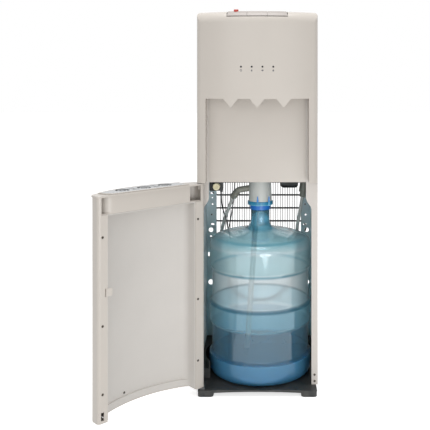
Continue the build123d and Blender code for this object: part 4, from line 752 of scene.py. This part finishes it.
def sign_outline(kind):
    """A small plain sign as points in mm: a filled outline, and a hole or none."""
    def arc(radius, start, end, count):
        angles = [radians(start + (end - start) * i / count) for i in range(count + 1)]
        return [(radius * cos(a), radius * sin(a)) for a in angles]

    if kind == "ring":
        return arc(2.7, 0, 360, 24)[:-1], arc(1.6, 0, 360, 24)[:-1]
    if kind == "drop":
        return [(u, v - 0.9) for u, v in arc(2.0, 150, 390, 18)] + [(0.0, 3.2)], None
    if kind == "star":
        near, far = arc(1.3, 0, 360, 12), arc(2.9, 0, 360, 12)
        return [(far if i % 2 else near)[i] for i in range(12)], None
    return FLAME, None


def make_signs():
    """The four signs as thin plates let into the bowed front."""
    shape = bmesh.new()
    for index, kind in enumerate(("ring", "flame", "star", "drop")):
        middle = (index - 1.5) * LIGHT_PITCH
        outer, inner = sign_outline(kind)
        count = len(outer)
        points = [(middle + u, SIGN_Z + v) for u, v in outer + (inner or [])]
        rings = [[shape.verts.new(at(x, bow_y(x) - proud, z)) for x, z in points]
                 for proud in (SIGN_PROUD, -SIGN_SUNK)]
        front, rear = rings
        for i in range(count):
            j = (i + 1) % count
            shape.faces.new((front[i], front[j], rear[j], rear[i]))
            if inner:
                shape.faces.new((front[count + j], front[count + i],
                                 rear[count + i], rear[count + j]))
                for level in rings:
                    shape.faces.new((level[i], level[j], level[count + j], level[count + i]))
        if not inner:
            for level in rings:
                shape.faces.new(level)
    bmesh.ops.triangulate(shape, faces=shape.faces)
    new_piece("light_signs", closed_mesh("light_signs", shape), "print_grey", "cabinet",
              smooth=False)


# ---- loose lines ---------------------------------------------------------------------------------
def loose_line(name, route, radius, material):
    """A round line whose smooth curve is led by the route's points."""
    curve = bpy.data.curves.new(name, "CURVE")
    curve.dimensions = "3D"
    curve.bevel_depth = radius / 1000
    curve.bevel_resolution = 6
    curve.resolution_u = 24
    curve.use_fill_caps = True
    line = curve.splines.new("NURBS")
    line.points.add(len(route) - 1)
    for point, place_mm in zip(line.points, route):
        point.co = (*at(*place_mm), 1.0)
    line.order_u = 3
    line.use_endpoint_u = True
    curve.materials.append(FINISH[material])
    piece = bpy.data.objects.new(name, curve)
    bpy.context.scene.collection.objects.link(piece)
    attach(piece, "cabinet")
    return piece


def make_lines():
    hose = loose_line("water_hose", HOSE_ROUTE, HOSE_R, "hose_grey")
    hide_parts("probe_hose")
    lead = loose_line("switch_wire", LEAD_ROUTE, LEAD_R, "machine_black")
    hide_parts("switch_lead")


# ---- stage and light -----------------------------------------------------------------------------
def seen_directly(tree):
    """1 for rays that show the backdrop: from the camera, off gloss and through clear pieces."""
    path = put(tree, "ShaderNodeLightPath").outputs
    some = worked(tree, "ADD", path["Is Camera Ray"], path["Is Glossy Ray"])
    return worked(tree, "ADD", some, path["Is Transmission Ray"], clamp=True)


FLOOR_HALF = 14
FLOOR_GLOW = 0.62
ROOM_LEVEL = 0.66
LAMPS = [                       # name, place and aim in m, size in m, power in W
    ("soft_key", (-0.7, -2.9, 1.3), (0, 0, 0.5), 2.2, 14),
    ("soft_fill", (1.3, -2.6, 0.7), (0.1, 0, 0.4), 2.0, 10),
    ("top_glow", (0.1, -0.2, 2.4), (0.1, 0, 0.9), 1.0, 21),
    ("bay_fill", (0.35, -1.1, 0.30), (0.1, 0.1, 0.30), 0.5, 2.2),
]


def make_stage():
    """A pale floor and room that look white to the camera."""
    mesh = bpy.data.meshes.new("floor")
    corners = [(x * FLOOR_HALF, y * FLOOR_HALF, 0) for x, y in ((-1, -1), (1, -1), (1, 1), (-1, 1))]
    mesh.from_pydata(corners, [], [(0, 1, 2, 3)])
    floor = bpy.data.objects.new("floor", mesh)
    bpy.context.scene.collection.objects.link(floor)
    material, tree, shader = new_finish("pale_floor")
    set_constants(shader, Base_Color=(0.78, 0.78, 0.78, 1), Roughness=0.9, Specular_IOR_Level=0.1,
                  Emission_Color=(1, 1, 1, 1))
    glow = product(tree, seen_directly(tree), FLOOR_GLOW)
    tree.links.new(glow, shader.inputs["Emission Strength"])
    mesh.materials.append(material)

    world = bpy.data.worlds.new("pale_room")
    bpy.context.scene.world = world
    world.use_nodes = True
    tree = world.node_tree
    backdrop = tree.nodes["Background"]
    backdrop.inputs["Color"].default_value = (1, 1, 1, 1)
    level = spread(tree, seen_directly(tree), 0, 1, ROOM_LEVEL, 1.0)
    tree.links.new(level, backdrop.inputs["Strength"])


def make_lamp(name, place_m, aim, size, power):
    lamp = bpy.data.lights.new(name, "AREA")
    lamp.shape = "DISK"
    lamp.size = size
    lamp.energy = power
    holder = bpy.data.objects.new(name, lamp)
    bpy.context.scene.collection.objects.link(holder)
    holder.location = place_m
    holder.rotation_euler = (Vector(aim) - Vector(place_m)).to_track_quat("-Z", "Y").to_euler()


def light_scene():
    for lamp in LAMPS:
        make_lamp(*lamp)
    bpy.context.scene.view_settings.view_transform = "Standard"


set_camera()
dress_parts()
make_lines()
make_bottle()
make_water()
make_drops()
make_screws()
make_signs()
make_stage()
light_scene()
